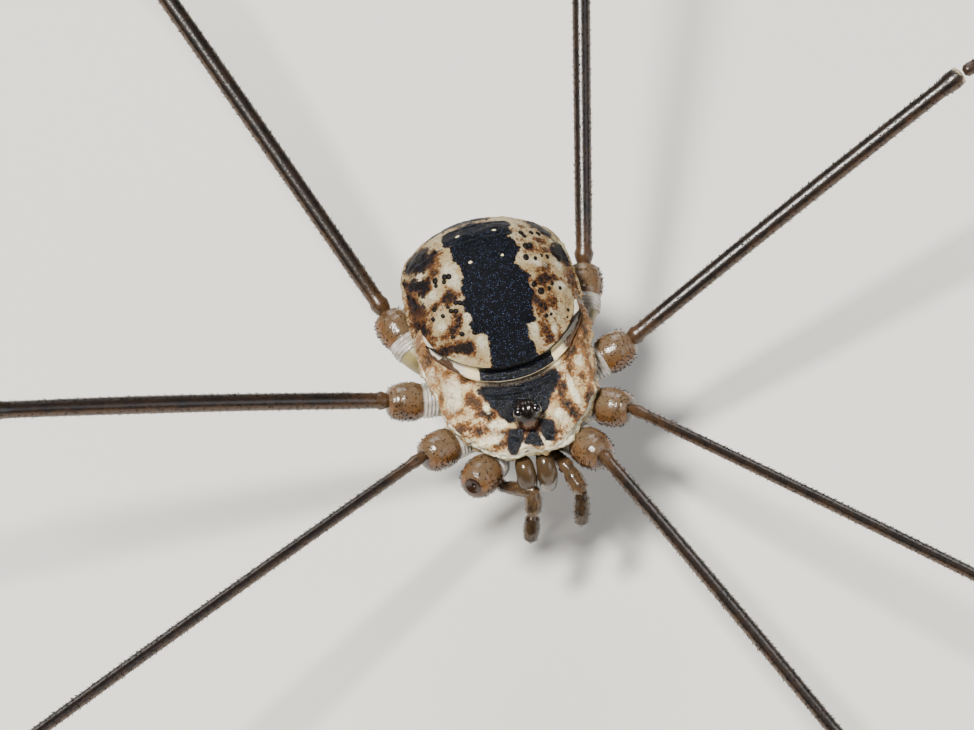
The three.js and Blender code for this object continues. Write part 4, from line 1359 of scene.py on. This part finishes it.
for side, joints in PALP_JOINTS.items():
    joints = [Vector(j) for j in joints]
    bm = bmesh.new()
    for a, b, width in zip(joints[:-2], joints[1:-1], PALP_WIDTHS):
        over = (b - a).normalized() * PALP_OVERLAP
        upward = SIDEWAYS.cross(b - a) + Vector((0.01, 0, 0))
        tube(bm, straight(a - over, b + over), width, steps_of(20, 0.5), 24, upward)
    piece_from(facing_out(bm), f"palp_shell_{side}", palp_cuticle_painted_shade, [f"pedipalp_{side}"])
    bm = bmesh.new()
    bend, tip = joints[-2:]
    tube(bm, straight(bend, tip), PALP_WIDTHS[-1], steps_of(20, 0.5), 24, SIDEWAYS)
    claw = bezier(tip, tip + Vector((0, -0.02, -0.08)), tip + Vector((0, 0.04, -0.12)))
    tube(bm, claw, PALP_CLAW_WIDTH, steps_of(6), 8, SIDEWAYS)
    piece_from(facing_out(bm), f"palp_tip_{side}", palp_tip_cuticle_painted_shade)
    for k, (a, b, width) in enumerate(zip(joints, joints[1:], PALP_WIDTHS)):
        spines_on_tube(f"palp_spines_{side}_{k + 1}", straight(a, b), width, range(-180, 180, 30), 0.11,
                       0.06, 0.012, 80 + 10 * k + (side == "left"), 0.1, 0.9)

# %% [markdown]
# Black warts stand in rows across the back, one row on each segment's border, more of them on the
# animal's left. They are low domes with their own small shadows, so they are real shapes.

# %% Warts on the back
# Girth, y, and half width in photo pixels.
WARTS = [
    (-1.06, 2.0, 3), (-0.95, 1.96, 3), (-1.33, 2.03, 3.2), (-1.1, 1.88, 2.4), (-1.34, 1.89, 2.2),
    (-1.56, 1.36, 2.6), (-1.12, 1.13, 2.4), (-1.0, 1.08, 2.6), (-1.37, 1.11, 2.2),
    (-1.68, 1.17, 2.4), (-0.95, 1.26, 2.6), (-0.85, 1.22, 2.6), (-1.17, 1.25, 2),
    (-1.25, 0.56, 2.4), (-1.0, 0.54, 2.6), (-0.69, 0.46, 2.2), (1.07, 2.78, 3), (1.12, 2.67, 2.4),
    (1.38, 2.8, 2.6), (1.6, 2.79, 2.8), (1.05, 2.32, 3.6), (1.18, 2.36, 3), (0.95, 1.98, 3.4),
    (1.19, 1.95, 2.2), (1.39, 2.04, 2.2), (1.57, 2.03, 2.4), (0.96, 1.26, 3), (1.1, 1.08, 3.6),
    (1.34, 1.15, 2.2), (1.7, 1.19, 2), (1.08, 0.5, 2.2), (1.22, 0.54, 2), (1.01, 0.75, 2),
    (1.1, 0.68, 1.8), (1.17, 1.36, 2.6), (1.47, 1.29, 2.4), (2.06, 2.13, 2.6), (1.89, 2.21, 2.4),
    (-1.57, 0.26, 1.6), (-2.15, 0.51, 1.6), (-2.19, 0.7, 1.6), (1.8, 0.66, 1.6), (1.71, 0.48, 1.4),
    (2.11, 0.73, 1.5),
]
WART_SHAPE = (1, 0.85, 0.55)
WART_SCALE = 1.2
ASIDE = 0.05

bm = bmesh.new()
uv = bm.loops.layers.uv.new("OFBake")
for girth, y, size in WARTS:
    here, there, aside = [
        Vector(skin_places(np.array([g / MM_PER_RADIAN]), np.array([along]))[0])
        for g, along in ((girth, y), (girth, y + ASIDE), (girth + ASIDE, y))]
    normal = (aside - here).cross(there - here).normalized()
    radius = WART_SCALE * size / PIXELS_PER_MM
    turn = normal.to_track_quat("Z", "Y").to_matrix().to_4x4()
    flat = Matrix.Diagonal([radius * factor for factor in WART_SHAPE] + [1])
    verts = bmesh.ops.create_icosphere(bm, subdivisions=2, radius=1)["verts"]
    bmesh.ops.transform(bm, matrix=Matrix.Translation(here) @ turn @ flat, verts=verts)
    spot = (girth / MM_PER_RADIAN / math.tau % 1 * MAP_SHARE,
            (y - BODY_FRONT) / (BODY_REAR - BODY_FRONT) * MAP_SHARE)
    lay_patch(uv, verts, spot)
piece_from(bm, "back_warts", black_chitin)
